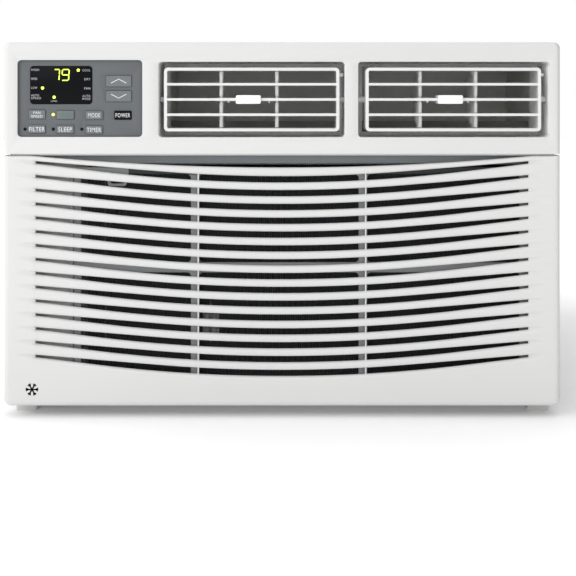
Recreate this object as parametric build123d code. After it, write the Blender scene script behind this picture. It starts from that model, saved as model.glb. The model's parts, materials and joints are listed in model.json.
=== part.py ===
from build123d import *
import os
from math import cos, radians, sin, sqrt

# Window air conditioner with electronic controls, two swinging air outlets and a drop-down intake grille.
# Millimetres. +X is to the viewer's right, the room side faces -Y, +Z is up.
# The origin is the centre of the footprint, on the surface that the feet stand on.

os.makedirs("parts", exist_ok=True)

# ---- driving dimensions ----
WIDTH = 558.0
DEPTH = 505.0
HEIGHT = 376.0
FOOT_H = 11.0
SPLIT_Z = 264.0          # parting line between the upper panel and the intake grille
WALL = 2.6               # moulded plastic wall
SHEET = 1.0              # cabinet sheet steel
PAN_T = 1.2              # base pan and bulkhead sheet

HALF_W = WIDTH / 2
FRONT = -DEPTH / 2
REAR = DEPTH / 2

# front panel
PANEL_BACK = FRONT + 60
PANEL_T = 3.0
PANEL_R = 6.0
INTAKE_FACE = FRONT + 23            # face of the intake frame behind the grille
INTAKE = (-200.0, 250.0, 26.0, 252.0)   # x0, x1, z0, z1 of the intake opening

# control panel
CONTROL = (-264.7, -139.7, 281.0, 358.0)
CONTROL_R = 4.0
FASCIA_FACE = FRONT + 3.5
FASCIA_T = 2.5
DISPLAY = (-252.7, -190.2, 313.7, 352.2)
BUTTONS = {
    "button_up": (-176.4, -150.9, 331.3, 342.5),
    "button_down": (-176.4, -150.9, 316.3, 327.4),
    "button_mode": (-197.0, -179.5, 298.4, 307.0),
    "button_power": (-168.0, -151.0, 298.4, 307.0),
    "button_fan_speed": (-254.0, -237.2, 299.0, 308.0),
    "button_eco": (-225.8, -208.4, 298.8, 307.4),
    "button_filter": (-254.0, -237.2, 284.6, 292.8),
    "button_sleep": (-226.0, -208.6, 284.4, 292.6),
    "button_timer": (-197.0, -179.8, 284.0, 292.2),
}
BUTTON_RISE = 1.6
BUTTON_TRAVEL = 0.8
LEDS = [(-257.7, 288.8), (-229.4, 288.8), (-200.8, 288.7), (-229.4, 303.4)]
LED_R = 1.6
BOARD_FACE = FRONT + 12.5

# air outlets
OUTLET_Z = 318.5
OUTLET_H = 76.0
OUTLETS = {"left": (-123.7, 62.9), "right": (76.2, 267.8)}
TUNNEL_BACK = FRONT + 47
RING = (176.0, 64.0)
RING_BAR = 3.0
RING_FACE = FRONT + 3.0
RING_DEPTH = 34.0
RING_PIN_R = 3.0
BLADE_T = 2.7
BLADE_PITCH = 15.3
BLADE_DEPTH = 11.5
VANES_X = (-31.5, 25.1)             # from the ring's centre
VANE_T = 2.2
VANE_FRONT = RING_FACE + 13.0
VANE_BACK = VANE_FRONT + 46.0
VANE_AXIS = VANE_FRONT + 14.5
VANE_PIN_R = 1.5
LINK_ARM = 13.0                     # from a vane's axis to its link post
TAB_X = -3.4
TAB = (24.8, 8.6)

# intake grille
GRILLE_T = 3.5
GRILLE_BACK = FRONT + 20.5
HINGE_Y = FRONT + 14.5
HINGE_Z = 18.0
HINGE_R = 3.0
SLOTS = 15
SLOT_PITCH = 13.87
SLOT_TOP = 241.5                    # upper edge of the highest slot, at the middle
SLOT_H = 6.2
SLOT_END = 247.0
FILTER_FACE = FRONT + 9.0
FILTER = (-210.0, 248.0, 32.0, 250.0)        # x0, x1, z0, z1 of the filter frame

# air system
AXIS_X = 45.0
AXIS_Z = 165.0
WHEEL_R = 95.0
WHEEL = (-148.0, -62.0)             # front and back of the blower wheel, in Y
BLOWER = (-162.0, -55.0)
SCROLL_OUT = (-20.0, 185.0)         # sides of the scroll's mouth, in X
FAN_R = 133.0
FAN = (84.0, 130.0)
SHAFT_R = 6.35
BULKHEAD_Y = -50.0
MOTOR = (-28.0, 44.0)
MOTOR_R = 56.0
SHROUD_Y = 101.0
DUCT = (-128.5, 271.5, 274.0, 363.5)

# coils: x0, x1, front, back, z0, z1
EVAPORATOR = (-160.0, 248.0, -222.0, -180.0, 36.0, 258.0)
CONDENSER = (-238.0, 250.0, 204.0, 246.0, 18.0, 352.0)
TUBE_R = 3.5
COMPRESSOR = (-190.0, 32.0)
COMPRESSOR_R = 52.0
ACCUMULATOR = (-104.0, 10.0)
ACCUMULATOR_R = 24.0
LEG_ANGLES = (30, 150, 270)
GROMMETS = [(COMPRESSOR[0] + 62 * cos(radians(a)), COMPRESSOR[1] + 62 * sin(radians(a))) for a in LEG_ANGLES]
GROMMET_TOP = 32.0
SUCTION_X, SUCTION_Z = -181.0, 243.0        # where the pipes cross the bulkhead
CAPILLARY_X, CAPILLARY_Z = -168.0, 266.0
EVAPORATOR_ROWS = [243.0 - 28.0 * k for k in range(8)]
CONDENSER_ROWS = [332.0 - 27.0 * k for k in range(12)]

# Case: holes and screws
FLOOR = FOOT_H + PAN_T
FRONT_SCREWS = [(-266.0, 40.0), (266.0, 40.0), (-266.0, 250.0), (266.0, 250.0)]
CORD_OUTLET = (-225.0, -207.0)
SILL_HOLES = [(sx, sy) for sx in (-150.0, 150.0) for sy in (80.0, 180.0)]
DRAIN = (0.0, 225.0)
RAIL_HOLES = [(-180.0, -120.0), (180.0, -120.0)]
CURTAIN_HOLES = [(-130.0, 60.0), (-130.0, 320.0)]
CABINET_SCREWS = [(y, 22.0) for y in (-150.0, 20.0, 200.0)]


# ---- helpers ----
def block(x0, x1, y0, y1, z0, z1):
    return Pos((x0 + x1) / 2, (y0 + y1) / 2, (z0 + z1) / 2) * Box(x1 - x0, y1 - y0, z1 - z0)


def upright(sketch, y0, y1):
    """A sketch drawn in X and Z, made solid from y0 back to y1."""
    face = Plane(origin=(0, y0, 0), x_dir=(1, 0, 0), z_dir=(0, -1, 0)) * sketch
    return extrude(face, y1 - y0, dir=(0, 1, 0))


def plate(x0, x1, z0, z1, y0, y1, radius=0.0):
    """A panel facing the room, with rounded corners."""
    corner = Rectangle(x1 - x0, z1 - z0)
    if radius:
        corner = RectangleRounded(x1 - x0, z1 - z0, radius)
    return upright(Pos((x0 + x1) / 2, (z0 + z1) / 2) * corner, y0, y1)


def rod(x, z, radius, y0, y1):
    """A round bar along Y."""
    return upright(Pos(x, z) * Circle(radius), y0, y1)


def post(x, y, radius, z0, z1):
    """A round bar along Z."""
    return Pos(x, y, (z0 + z1) / 2) * Cylinder(radius, z1 - z0)


def pin_x(y, z, radius, x0, x1):
    """A round bar along X."""
    return Pos((x0 + x1) / 2, y, z) * Rot(0, 90, 0) * Cylinder(radius, x1 - x0)


def group(solids):
    return Compound(children=list(solids))


def pipe(points, radii, tube_r):
    """A bent tube: straight runs joined by tangent arcs."""
    path = FilletPolyline(*points, radius=radii)
    section = Plane(origin=path @ 0, z_dir=path % 0) * Circle(tube_r)
    return sweep(section, path=path)


def save(shape, name):
    export_step(shape, f"parts/{name}.step")


# ---- front panel ----
def front_frame():
    """Upper panel with side walls, and the intake frame that stands back behind the grille."""
    upper = block(-HALF_W, HALF_W, FRONT, PANEL_BACK, SPLIT_Z, HEIGHT)
    rounded = upper.edges().filter_by(Axis.Y).sort_by(Axis.Z)[-2:]
    upper = fillet(rounded, PANEL_R)
    front_edges = upper.faces().sort_by(Axis.Y)[0].edges().sort_by(Axis.Z)[1:]
    upper = fillet(front_edges, PANEL_R - 1)
    lower = block(-HALF_W, HALF_W, INTAKE_FACE, PANEL_BACK, FOOT_H, SPLIT_Z)
    inner = HALF_W - WALL
    hollow = block(-inner, inner, FRONT + PANEL_T, PANEL_BACK, SPLIT_Z + WALL, HEIGHT - WALL)
    lower_hollow = block(-inner, inner, INTAKE_FACE + PANEL_T, PANEL_BACK, FOOT_H + WALL, SPLIT_Z + WALL)
    body = upper + lower - hollow - lower_hollow
    shelf = block(-inner, inner, FRONT + PANEL_T, INTAKE_FACE + PANEL_T, SPLIT_Z, SPLIT_Z + WALL)
    x0, x1, z0, z1 = INTAKE
    body = body + shelf - plate(x0, x1, z0, z1, INTAKE_FACE - 1, INTAKE_FACE + PANEL_T + 1, 6)

    # tunnels behind the two air outlets
    low, high = OUTLET_Z - OUTLET_H / 2, OUTLET_Z + OUTLET_H / 2
    for x0, x1 in OUTLETS.values():
        outer = plate(x0 - 2.5, x1 + 2.5, low - 2.5, high + 2.5, FRONT + 1, TUNNEL_BACK, 5)
        body = body + outer - plate(x0, x1, low, high, FRONT - 1, TUNNEL_BACK + 1, 4)
        for x in (x0, x1):
            body -= pin_x(RING_FACE + RING_DEPTH / 2, OUTLET_Z, RING_PIN_R + 0.08, x - 3, x + 3)

    # control opening
    x0, x1, z0, z1 = CONTROL
    body = body - plate(x0, x1, z0, z1, FRONT - 1, FRONT + PANEL_T + 1, CONTROL_R)

    # hinge lugs for the grille
    for side in (-1, 1):
        xs = sorted((side * 259, side * 265))
        lug = block(xs[0], xs[1], HINGE_Y - 5, INTAKE_FACE + 1, HINGE_Z - 5.5, HINGE_Z + 5.5)
        body = body + lug - pin_x(HINGE_Y, HINGE_Z, HINGE_R + 0.08, xs[0] - 1, xs[1] + 1)

    # screw holes in the intake frame, and the cord outlet in the floor
    for x, z in FRONT_SCREWS:
        body -= rod(x, z, 2.1, INTAKE_FACE - 1, INTAKE_FACE + PANEL_T + 1)
    return body - post(*CORD_OUTLET, 7.0, FOOT_H - 1, FOOT_H + WALL + 1)


def front_screws():
    """Pan-head screws through the intake frame."""
    screws = []
    for x, z in FRONT_SCREWS:
        head = rod(x, z, 4.0, INTAKE_FACE - 2.2, INTAKE_FACE)
        head = fillet(head.edges().sort_by(Axis.Y)[0], 1.2)
        head -= plate(x - 2.5, x + 2.5, z - 0.5, z + 0.5, INTAKE_FACE - 3, INTAKE_FACE - 1.2)
        screws.append(head + rod(x, z, 2.0, INTAKE_FACE - 0.5, INTAKE_FACE + 14))
    return group(screws)


def grip_recess():
    """Grey strip behind the grille's hollowed top edge, where fingers pull the grille open."""
    strip = block(-273, 273, FRONT + 12, INTAKE_FACE, 254, SPLIT_Z)
    strip += block(-273, 273, FRONT + 6, FRONT + 12.5, SPLIT_Z - 2.0, SPLIT_Z)
    return strip


def feet():
    """Four tapered feet."""
    solids = []
    for x in (-262.0, 262.0):
        for y in (FRONT + 12 + 24, 214.0):
            top = Plane.XY.offset(FOOT_H) * Pos(x, y) * RectangleRounded(23, 26, 3)
            solids.append(extrude(top, -FOOT_H, taper=3))
    return group(solids)


def cord_gland():
    """Bushing for the supply cord in the floor of the front panel."""
    x, y = CORD_OUTLET
    body = post(x, y, 7.0, FOOT_H - 1.6, FOOT_H + WALL + 1.5) + post(x, y, 9.0, FOOT_H - 1.8, FOOT_H)
    return body - post(x, y, 4.2, FOOT_H - 5, FOOT_H + WALL + 5)


# ---- intake grille ----
def bowed(z, sag, straight, x_end):
    """Points (x, z) of an edge that bows down in the middle: its end, the arc's end, and the middle."""
    arc_rise = sag * straight / (2 * x_end - straight)
    return [(x_end, z + sag), (straight, z + arc_rise), (0.0, z)]


def slot_face(z):
    """One slot: both edges bow down in the middle and the slot narrows to its ends."""
    upper = bowed(z, 15.1, 126.0, SLOT_END)
    lower = bowed(z - SLOT_H, 18.7, 185.0, SLOT_END)
    (xe, zu), (xu, za), (_, zm) = upper
    (_, zl), (xl, zb), (_, zn) = lower
    outline = [
        Line((-xe, zu), (-xu, za)),
        ThreePointArc((-xu, za), (0, zm), (xu, za)),
        Line((xu, za), (xe, zu)),
        Line((xe, zu), (xe, zl)),
        Line((xe, zl), (xl, zb)),
        ThreePointArc((xl, zb), (0, zn), (-xl, zb)),
        Line((-xl, zb), (-xe, zl)),
        Line((-xe, zl), (-xe, zu)),
    ]
    return make_face(outline)


def intake_grille():
    """Slotted cover over the whole intake, hinged at its lower edge."""
    outline = [
        Line((-HALF_W, FOOT_H), (HALF_W, FOOT_H)),
        Line((HALF_W, FOOT_H), (HALF_W, SPLIT_Z - 0.6)),
        Line((HALF_W, SPLIT_Z - 0.6), (252, SPLIT_Z - 0.6)),
        ThreePointArc((252, SPLIT_Z - 0.6), (0, SPLIT_Z - 12.5), (-252, SPLIT_Z - 0.6)),
        Line((-252, SPLIT_Z - 0.6), (-HALF_W, SPLIT_Z - 0.6)),
        Line((-HALF_W, SPLIT_Z - 0.6), (-HALF_W, FOOT_H)),
    ]
    body = upright(make_face(outline), FRONT, GRILLE_BACK)
    low_corners = body.edges().filter_by(Axis.Y).sort_by(Axis.Z)[:2]
    body = fillet(low_corners, PANEL_R + 1)
    rim = body.faces().sort_by(Axis.Y)[0].edges().sort_by(Axis.Z)
    body = fillet(rim[:-3], PANEL_R - 1)
    inner = HALF_W - WALL
    body -= block(-inner, inner, FRONT + GRILLE_T, GRILLE_BACK + 1, FOOT_H + WALL, SPLIT_Z + 5)
    body -= block(-inner, inner, HINGE_Y - 7, GRILLE_BACK + 1, FOOT_H - 1, FOOT_H + WALL + 1)

    # the lower back corners are cut away so that they clear the intake frame as the grille drops
    for side in (-1, 1):
        corner = Pos(side * HALF_W, GRILLE_BACK + 1.5, FOOT_H - 1.5) * Rot(45, 0, 0) * Box(20, 15, 15)
        body -= corner
        xs = sorted((side * (inner + 0.5), side * 256))
        body += pin_x(HINGE_Y, HINGE_Z, HINGE_R, *xs)

    for k in range(SLOTS):
        body -= upright(slot_face(SLOT_TOP - k * SLOT_PITCH), FRONT - 1, FRONT + GRILLE_T + 1)
    body -= grille_badge()

    # ribs that tie the slats together behind, and rails that hold the filter
    for x in (-84.0, 84.0):
        body += block(x - 0.7, x + 0.7, FRONT + 2.5, FILTER_FACE - 0.2, 24, 250)
    for x0, x1 in ((FILTER[0] - 4.5, FILTER[0]), (FILTER[1], FILTER[1] + 4.5)):
        rail = block(x0, x1, FRONT + 2.5, FILTER_FACE + 7, 30, 246)
        room = (FILTER[0] - 0.6, FILTER[1] + 0.6, FILTER_FACE - 0.15, FILTER_FACE + 5.2, 20, 260)
        body += rail - block(*room)
    return body


def grille_badge():
    """Small raised ornament: a six-armed snow crystal."""
    x, z = -250.0, 28.5
    arms = [Pos(x, z) * Rot(0, 0, a) * SlotOverall(13, 1.5) for a in (0, 60, 120)]
    twigs = []
    for a in range(0, 360, 60):
        for lean in (-35, 35):
            at = Rot(0, 0, a) * Pos(3.6, 0) * Rot(0, 0, lean) * Pos(1.3, 0)
            twigs.append(Pos(x, z) * at * SlotOverall(3.4, 1.1))
    return upright(Sketch() + arms + twigs, FRONT, FRONT + 0.6)


def filter_frame():
    """Moulded frame of the air filter, with a pull hoop at its top."""
    x0, x1, z0, z1 = FILTER
    body = plate(x0, x1, z0, z1, FILTER_FACE, FILTER_FACE + 4, 3)
    columns = [x0 + 7, -92, -83.4, 77.4, 86, x1 - 8]
    rows = [z0 + 7, 144.0, 154.0, z1 - 7]
    for c in range(3):
        for r in range(2):
            cell = (columns[2 * c], columns[2 * c + 1], rows[2 * r], rows[2 * r + 1])
            body -= plate(*cell, FILTER_FACE - 1, FILTER_FACE + 5, 4)
    hoop = plate(-176, -157, 231, 246, FILTER_FACE, FILTER_FACE + 4, 3)
    return body + hoop - plate(-173.4, -159.6, 233.6, 243, FILTER_FACE - 1, FILTER_FACE + 5, 2)


def filter_mesh():
    """Fine mesh bonded to the back of the filter frame."""
    x0, x1, z0, z1 = FILTER
    return plate(x0 + 3, x1 - 3, z0 + 3, z1 - 3, FILTER_FACE + 4, FILTER_FACE + 4.8, 2)


# ---- controls ----
def control_fascia():
    """Grey panel with cut-outs for the display, the buttons and the indicators."""
    x0, x1, z0, z1 = CONTROL
    body = plate(x0 + 0.1, x1 - 0.1, z0 + 0.1, z1 - 0.1, FASCIA_FACE - 0.5, FASCIA_FACE + FASCIA_T, CONTROL_R)
    body += plate(x0 - 3, x1 + 3, z0 - 3, z1 + 3, FRONT + PANEL_T + 0.1, FASCIA_FACE + FASCIA_T, CONTROL_R)
    back = FASCIA_FACE + FASCIA_T + 1
    body -= plate(*DISPLAY, FRONT - 1, back, 3.6)
    for bx0, bx1, bz0, bz1 in BUTTONS.values():
        body -= plate(bx0 - 0.25, bx1 + 0.25, bz0 - 0.25, bz1 + 0.25, FRONT - 1, back, 0.8)
    for x, z in LEDS:
        body -= rod(x, z, LED_R, FRONT - 1, back)
    return body


def display_window():
    """Tinted lens over the display."""
    x0, x1, z0, z1 = DISPLAY
    lens = plate(x0, x1, z0, z1, FASCIA_FACE - 0.9, FASCIA_FACE + FASCIA_T, 3.6)
    return lens + plate(x0 - 1, x1 + 1, z0 - 1, z1 + 1, FASCIA_FACE + FASCIA_T, FASCIA_FACE + FASCIA_T + 1, 3)


def indicator_leds():
    """Light pipes beside the buttons."""
    return group(rod(x, z, LED_R, FASCIA_FACE - 0.7, FASCIA_FACE + FASCIA_T + 1.5) for x, z in LEDS)


def button(x0, x1, z0, z1):
    """Key cap with a retaining flange and a stem that reaches its switch."""
    back = FASCIA_FACE + FASCIA_T
    cap = plate(x0, x1, z0, z1, FASCIA_FACE - BUTTON_RISE, back + 1.2, 0.6)
    cap = chamfer(cap.faces().sort_by(Axis.Y)[0].edges(), 0.5)
    cap += plate(x0 - 0.9, x1 + 0.9, z0 - 0.9, z1 + 0.9, back + 0.25, back + 1.2, 0.6)
    return cap + rod((x0 + x1) / 2, (z0 + z1) / 2, 1.5, back + 1, BOARD_FACE - 0.8 - BUTTON_TRAVEL)


def control_board():
    """Circuit board with a switch behind every button and the display module."""
    board = block(-262, -142, BOARD_FACE, BOARD_FACE + 1.6, 283.5, 355.5)
    for x0, x1, z0, z1 in BUTTONS.values():
        x, z = (x0 + x1) / 2, (z0 + z1) / 2
        board += block(x - 3, x + 3, BOARD_FACE - 0.6, BOARD_FACE + 0.1, z - 3, z + 3)
    board += block(-249, -194, FASCIA_FACE + FASCIA_T + 1.2, BOARD_FACE + 0.1, 317, 349)
    return board + block(-252, -205, BOARD_FACE + 1.5, BOARD_FACE + 16, 290, 335)


def control_box():
    """Folded steel box for the wiring, open towards the front panel."""
    x0, x1, y0, y1, z0, z1 = -268.0, -190.0, -180.0, -66.0, 20.0, 262.0
    box = block(x0, x1, y0, y1, z0, z1)
    return box - block(x0 + PAN_T, x1 - PAN_T, y0 - 1, y1 - PAN_T, z0 + PAN_T, z1 - PAN_T)


def run_capacitor():
    """Motor capacitor standing in the control box."""
    x, y = -230.0, -110.0
    body = fillet(post(x, y, 22, 21.2, 105).edges(), 2)
    return body + [block(x + s - 3, x + s + 3, y - 0.5, y + 0.5, 104.5, 114) for s in (-9, 9)]


# ---- air outlets ----
def louver_frame(centre, opening):
    """Ring of horizontal blades that tilts up and down on two pins, which reach into the tunnel's walls."""
    width, height = RING
    back = RING_FACE + RING_DEPTH
    x0, x1 = centre - width / 2, centre + width / 2
    z0, z1 = OUTLET_Z - height / 2, OUTLET_Z + height / 2
    body = plate(x0, x1, z0, z1, RING_FACE, back, 4)
    body -= plate(x0 + RING_BAR, x1 - RING_BAR, z0 + RING_BAR, z1 - RING_BAR, RING_FACE - 1, back + 1, 2)
    for k in (-1, 0, 1):
        z = OUTLET_Z + k * BLADE_PITCH
        blade = block(x0 + 1, x1 - 1, RING_FACE, RING_FACE + BLADE_DEPTH, z - BLADE_T / 2, z + BLADE_T / 2)
        body += fillet(blade.edges().filter_by(Axis.X), 0.8)
    for side, wall in ((-1, x0), (1, x1)):
        xs = sorted((wall - side, centre + side * (opening / 2 + 2)))
        body += pin_x(RING_FACE + RING_DEPTH / 2, OUTLET_Z, RING_PIN_R, *xs)
    body += pin_x(RING_FACE + 8, z1 - 7, 1.8, x1 - 1, x1 + 4)
    for dx in VANES_X:
        body -= post(centre + dx, VANE_AXIS, VANE_PIN_R + 0.08, z0 - 1, z1 + 1)
    return body


def vane(x):
    """Upright vane on two pins, with a post that the link pushes."""
    top = RING[1] / 2 - RING_BAR - 0.5
    half_slot = 3.4
    outline = [(VANE_FRONT, -top), (VANE_FRONT, top), (VANE_FRONT + 24, top), (VANE_BACK, top - 8)]
    outline += [(VANE_BACK, 8 - top), (VANE_FRONT + 24, -top)]
    side = Plane(origin=(x, 0, OUTLET_Z), x_dir=(0, 1, 0), z_dir=(1, 0, 0))
    body = extrude(side * Polygon(*outline, align=None), VANE_T / 2, both=True)
    bead = post(x, VANE_FRONT + 1.9, 1.9, OUTLET_Z - top, OUTLET_Z + top)
    body += bead
    notch = (x - 3, x + 3, VANE_FRONT - 2, VANE_FRONT + 6, OUTLET_Z - half_slot, OUTLET_Z + half_slot)
    body -= block(*notch)
    body += post(x, VANE_AXIS - LINK_ARM, 1.2, OUTLET_Z - half_slot - 1, OUTLET_Z + half_slot + 1)
    for side in (-1, 1):
        zs = sorted((OUTLET_Z + side * (top - 3), OUTLET_Z + side * (RING[1] / 2 + 0.8)))
        body += post(x, VANE_AXIS, VANE_PIN_R, *zs)
    return body


def vane_link(centre):
    """Link between two vanes, with a finger tab that rides on the middle blade."""
    y = VANE_AXIS - LINK_ARM
    x0, x1 = centre + VANES_X[0] - 3.6, centre + VANES_X[1] + 3.6
    bar = block(x0, x1, y - 1.9, y + 3.6, OUTLET_Z - 1.65, OUTLET_Z + 1.65)
    for dx in VANES_X:
        hole = Rot(0, 0, 90) * extrude(SlotOverall(4.3, 2.8), 4, both=True)
        slot = Pos(centre + dx, y + 0.75, OUTLET_Z) * hole
        bar -= slot
    x = centre + TAB_X
    half_w, half_h = TAB[0] / 2, TAB[1] / 2
    tab = plate(x - half_w, x + half_w, OUTLET_Z - half_h, OUTLET_Z + half_h, RING_FACE - 2.6, y + 0.5, 1.5)
    half = BLADE_T / 2 + 0.3
    tab -= block(x - 20, x + 20, RING_FACE - 0.25, y - 1.4, OUTLET_Z - half, OUTLET_Z + half)
    for dx in (-20.6, 20.6):
        bar += post(x + dx, y, 1.0, OUTLET_Z - 3.4, OUTLET_Z - 1)
    return bar + tab


def discharge_duct():
    """Box duct from the blower up and forward to both outlets."""
    x0, x1, z0, z1 = DUCT
    front, back = TUNNEL_BACK + 0.5, -55.0
    body = block(x0, x1, front, back, z0, z1)
    body -= block(x0 + 2.5, x1 - 2.5, front - 1, back - 2.5, z0 + 2.5, z1 - 2.5)
    sx0, sx1 = SCROLL_OUT
    return body - block(sx0, sx1, BLOWER[0] + 2.5, BLOWER[1] - 2.5, z0 - 1, z0 + 4)


# ---- blower ----
def scroll_face(grow=0.0):
    """Spiral outline of the blower housing, open at the top into the duct."""
    left = AXIS_X - 110 - grow
    right = AXIS_X + 140 + grow
    low = AXIS_Z - 110 - grow
    near = (110 + grow) * sqrt(0.5)
    far = (140 + grow) * sqrt(0.5)
    top = DUCT[2]
    out0, out1 = SCROLL_OUT[0] - grow, SCROLL_OUT[1] + grow
    outline = [
        Line((out0, top), (out0, 262)),
        Line((out0, 262), (left, 205)),
        Line((left, 205), (left, AXIS_Z)),
        ThreePointArc((left, AXIS_Z), (AXIS_X - near, AXIS_Z - near), (AXIS_X, low)),
        ThreePointArc((AXIS_X, low), (AXIS_X + far, AXIS_Z + 30 - far), (right, AXIS_Z + 30)),
        Line((right, AXIS_Z + 30), (right, top)),
        Line((right, top), (out0, top)),
    ]
    return make_face(outline)


def blower_housing():
    """Scroll round the blower wheel."""
    body = upright(scroll_face(2.5), BLOWER[0], BLOWER[1])
    body -= upright(scroll_face(), BLOWER[0] - 1, BLOWER[1] - 2.5)
    return body - rod(AXIS_X, AXIS_Z, 14, BLOWER[1] - 4, BLOWER[1] + 1)


def blower_inlet_ring():
    """Partition behind the evaporator, with a bell-mouthed inlet to the wheel."""
    body = block(-158, 268, BLOWER[0] - 2.5, BLOWER[0], 14, DUCT[2] - 0.5)
    lip = rod(AXIS_X, AXIS_Z, 82, BLOWER[0] - 1, WHEEL[0] + 8)
    lip += rod(AXIS_X, AXIS_Z, 90, BLOWER[0] - 9, BLOWER[0] - 1)
    body = body + lip
    return body - rod(AXIS_X, AXIS_Z, 79, BLOWER[0] - 10, WHEEL[0] + 9)


def blower_wheel():
    """Forward-curved centrifugal wheel."""
    blades = []
    for k in range(36):
        at_rim = Pos(AXIS_X, AXIS_Z) * Rot(0, 0, 10 * k) * Pos(WHEEL_R - 5.4, 0)
        blades.append(at_rim * Rot(0, 0, 35) * Rectangle(11, 1.6))
    front, back = WHEEL
    body = upright(Sketch() + blades, front + 1, back - 1)
    ring = Pos(AXIS_X, AXIS_Z) * (Circle(WHEEL_R) - Circle(WHEEL_R - 10))
    body += upright(ring, front, front + 3)
    body += rod(AXIS_X, AXIS_Z, WHEEL_R, back - 2.5, back)
    body += rod(AXIS_X, AXIS_Z, 15, back - 32, back - 2)
    return body - rod(AXIS_X, AXIS_Z, SHAFT_R, front - 1, back + 1)


def motor_shaft():
    return rod(AXIS_X, AXIS_Z, SHAFT_R, WHEEL[1] - 34, FAN[1] + 3)


def fan_motor():
    """Double-shaft fan motor with rolled end bells."""
    front, back = MOTOR
    body = fillet(rod(AXIS_X, AXIS_Z, MOTOR_R, front, back).edges(), 7)
    body += rod(AXIS_X, AXIS_Z, MOTOR_R + 3, front + 22, back - 22)
    body += rod(AXIS_X, AXIS_Z, 18, front - 7, back + 7)
    return body - rod(AXIS_X, AXIS_Z, SHAFT_R + 0.08, front - 8, back + 8)


def motor_bracket():
    """Steel cradle under the motor."""
    left, right = AXIS_X - 52, AXIS_X + 52
    corners = [(left - 23, FLOOR), (right + 23, FLOOR), (right, AXIS_Z - 20), (left, AXIS_Z - 20)]
    outline = Polygon(*corners, align=None)
    window = Polygon((left - 10, FLOOR + 3), (right + 10, FLOOR + 3), (right, 92), (left, 92), align=None)
    y0, y1 = MOTOR[0] + 22, MOTOR[1] - 22
    return upright(outline - window, y0 + 3, y1 - 3) - rod(AXIS_X, AXIS_Z, MOTOR_R + 3, y0 - 1, y1 + 1)


def condenser_fan():
    """Axial fan with a slinger ring that throws condensate at the condenser."""
    front, back = FAN
    middle = (front + back) / 2
    blade = Pos(80, 0, 0) * Rot(32, 0, 0) * Box(112, 2.4, 76)
    blade = Pos(AXIS_X, middle, AXIS_Z) * blade
    shell = rod(AXIS_X, AXIS_Z, FAN_R - 4, front + 2, back - 2) - rod(AXIS_X, AXIS_Z, 28, front, back)
    one = blade & shell
    body = rod(AXIS_X, AXIS_Z, 32, front + 6, back - 4)
    turn = Axis((AXIS_X, middle, AXIS_Z), (0, 1, 0))
    for k in range(5):
        body += one.rotate(turn, 72 * k)
    ring = Pos(AXIS_X, AXIS_Z) * (Circle(FAN_R) - Circle(FAN_R - 4.5))
    body += upright(ring, back - 12, back)
    return body - rod(AXIS_X, AXIS_Z, SHAFT_R, front - 1, back + 1)


def fan_shroud():
    """Moulded shroud between the fan and the condenser."""
    x0, x1, z0, z1 = CONDENSER[0], CONDENSER[1], 16.0, CONDENSER[5]
    back = CONDENSER[2] - 1
    body = block(x0, x1, SHROUD_Y, back, z0, z1)
    body -= block(x0 + 2.5, x1 - 2.5, SHROUD_Y + 2.5, back + 1, z0 + 2.5, z1 - 2.5)
    body += rod(AXIS_X, AXIS_Z, FAN_R + 9, SHROUD_Y, FAN[1] + 6)
    return body - rod(AXIS_X, AXIS_Z, FAN_R + 6, SHROUD_Y - 1, FAN[1] + 7)


# ---- case ----
def base_pan():
    """Pressed steel tray."""
    x, y0, y1, rim = 273.4, -188.0, REAR - 1.2, 34.0
    body = block(-x, x, y0, y1, FOOT_H, rim)
    body -= block(PAN_T - x, x - PAN_T, y0 + PAN_T, y1 - PAN_T, FLOOR, rim + 1)
    for sx, sy in SILL_HOLES:
        body -= post(sx, sy, 3.3, FOOT_H - 1, FLOOR + 1)
    return body - post(*DRAIN, 6.0, FOOT_H - 1, FLOOR + 1)


def cabinet():
    """Steel wrapper: top and two sides, flanged round the condenser, with pressed vents."""
    outer, inner = 275.5, 275.5 - SHEET
    front, top = PANEL_BACK - 8, HEIGHT - 3.0
    body = block(-outer, outer, front, REAR, FOOT_H + 3, top)
    body -= block(-inner, inner, front - 1, REAR - SHEET, FOOT_H - 1, top - SHEET)
    body -= block(-inner + 15, inner - 15, REAR - 5, REAR + 1, FOOT_H - 1, top - 16)
    edges = body.edges().filter_by(Axis.Y)
    body = fillet([e for e in edges if abs(e.center().X) > outer - 0.1 and e.center().Z > 300], 0.9)
    for k in range(9):
        z = 120 + 20 * k
        body -= block(-outer - 1, outer + 1, -34, 46, z, z + 3.4)
        body -= block(-outer - 1, outer + 1, 62, 142, z, z + 3.4)
    for k in range(7):
        y = -20 + 18 * k
        body -= block(-210, -120, y, y + 3.4, top - 3, top + 1)
        body -= block(60, 150, y, y + 3.4, top - 3, top + 1)
    for x, y in RAIL_HOLES:
        body -= post(x, y, 2.1, top - 5, top + 5)
    for y, z in CURTAIN_HOLES:
        body -= pin_x(y, z, 2.1, -outer - 1, outer + 1)
    return body


def cabinet_screws():
    """Hex-head screws that fix the cabinet to the base pan."""
    screws = []
    for side in (-1, 1):
        for y, z in CABINET_SCREWS:
            plane = Plane(origin=(side * 275.5, y, z), z_dir=(side, 0, 0))
            screws.append(extrude(plane * RegularPolygon(4.0, 6), 2.8) + extrude(plane * Circle(5.2), 0.8))
    return group(screws)


def bulkhead():
    """Steel wall between the room side and the outdoor side."""
    body = block(-272, 272, BULKHEAD_Y, BULKHEAD_Y + PAN_T, FLOOR, HEIGHT - 4.5)
    body -= rod(AXIS_X, AXIS_Z, 24, BULKHEAD_Y - 1, BULKHEAD_Y + 3)
    body -= rod(SUCTION_X, SUCTION_Z, 9, BULKHEAD_Y - 1, BULKHEAD_Y + 3)
    return body - rod(CAPILLARY_X, CAPILLARY_Z, 5, BULKHEAD_Y - 1, BULKHEAD_Y + 3)


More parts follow.
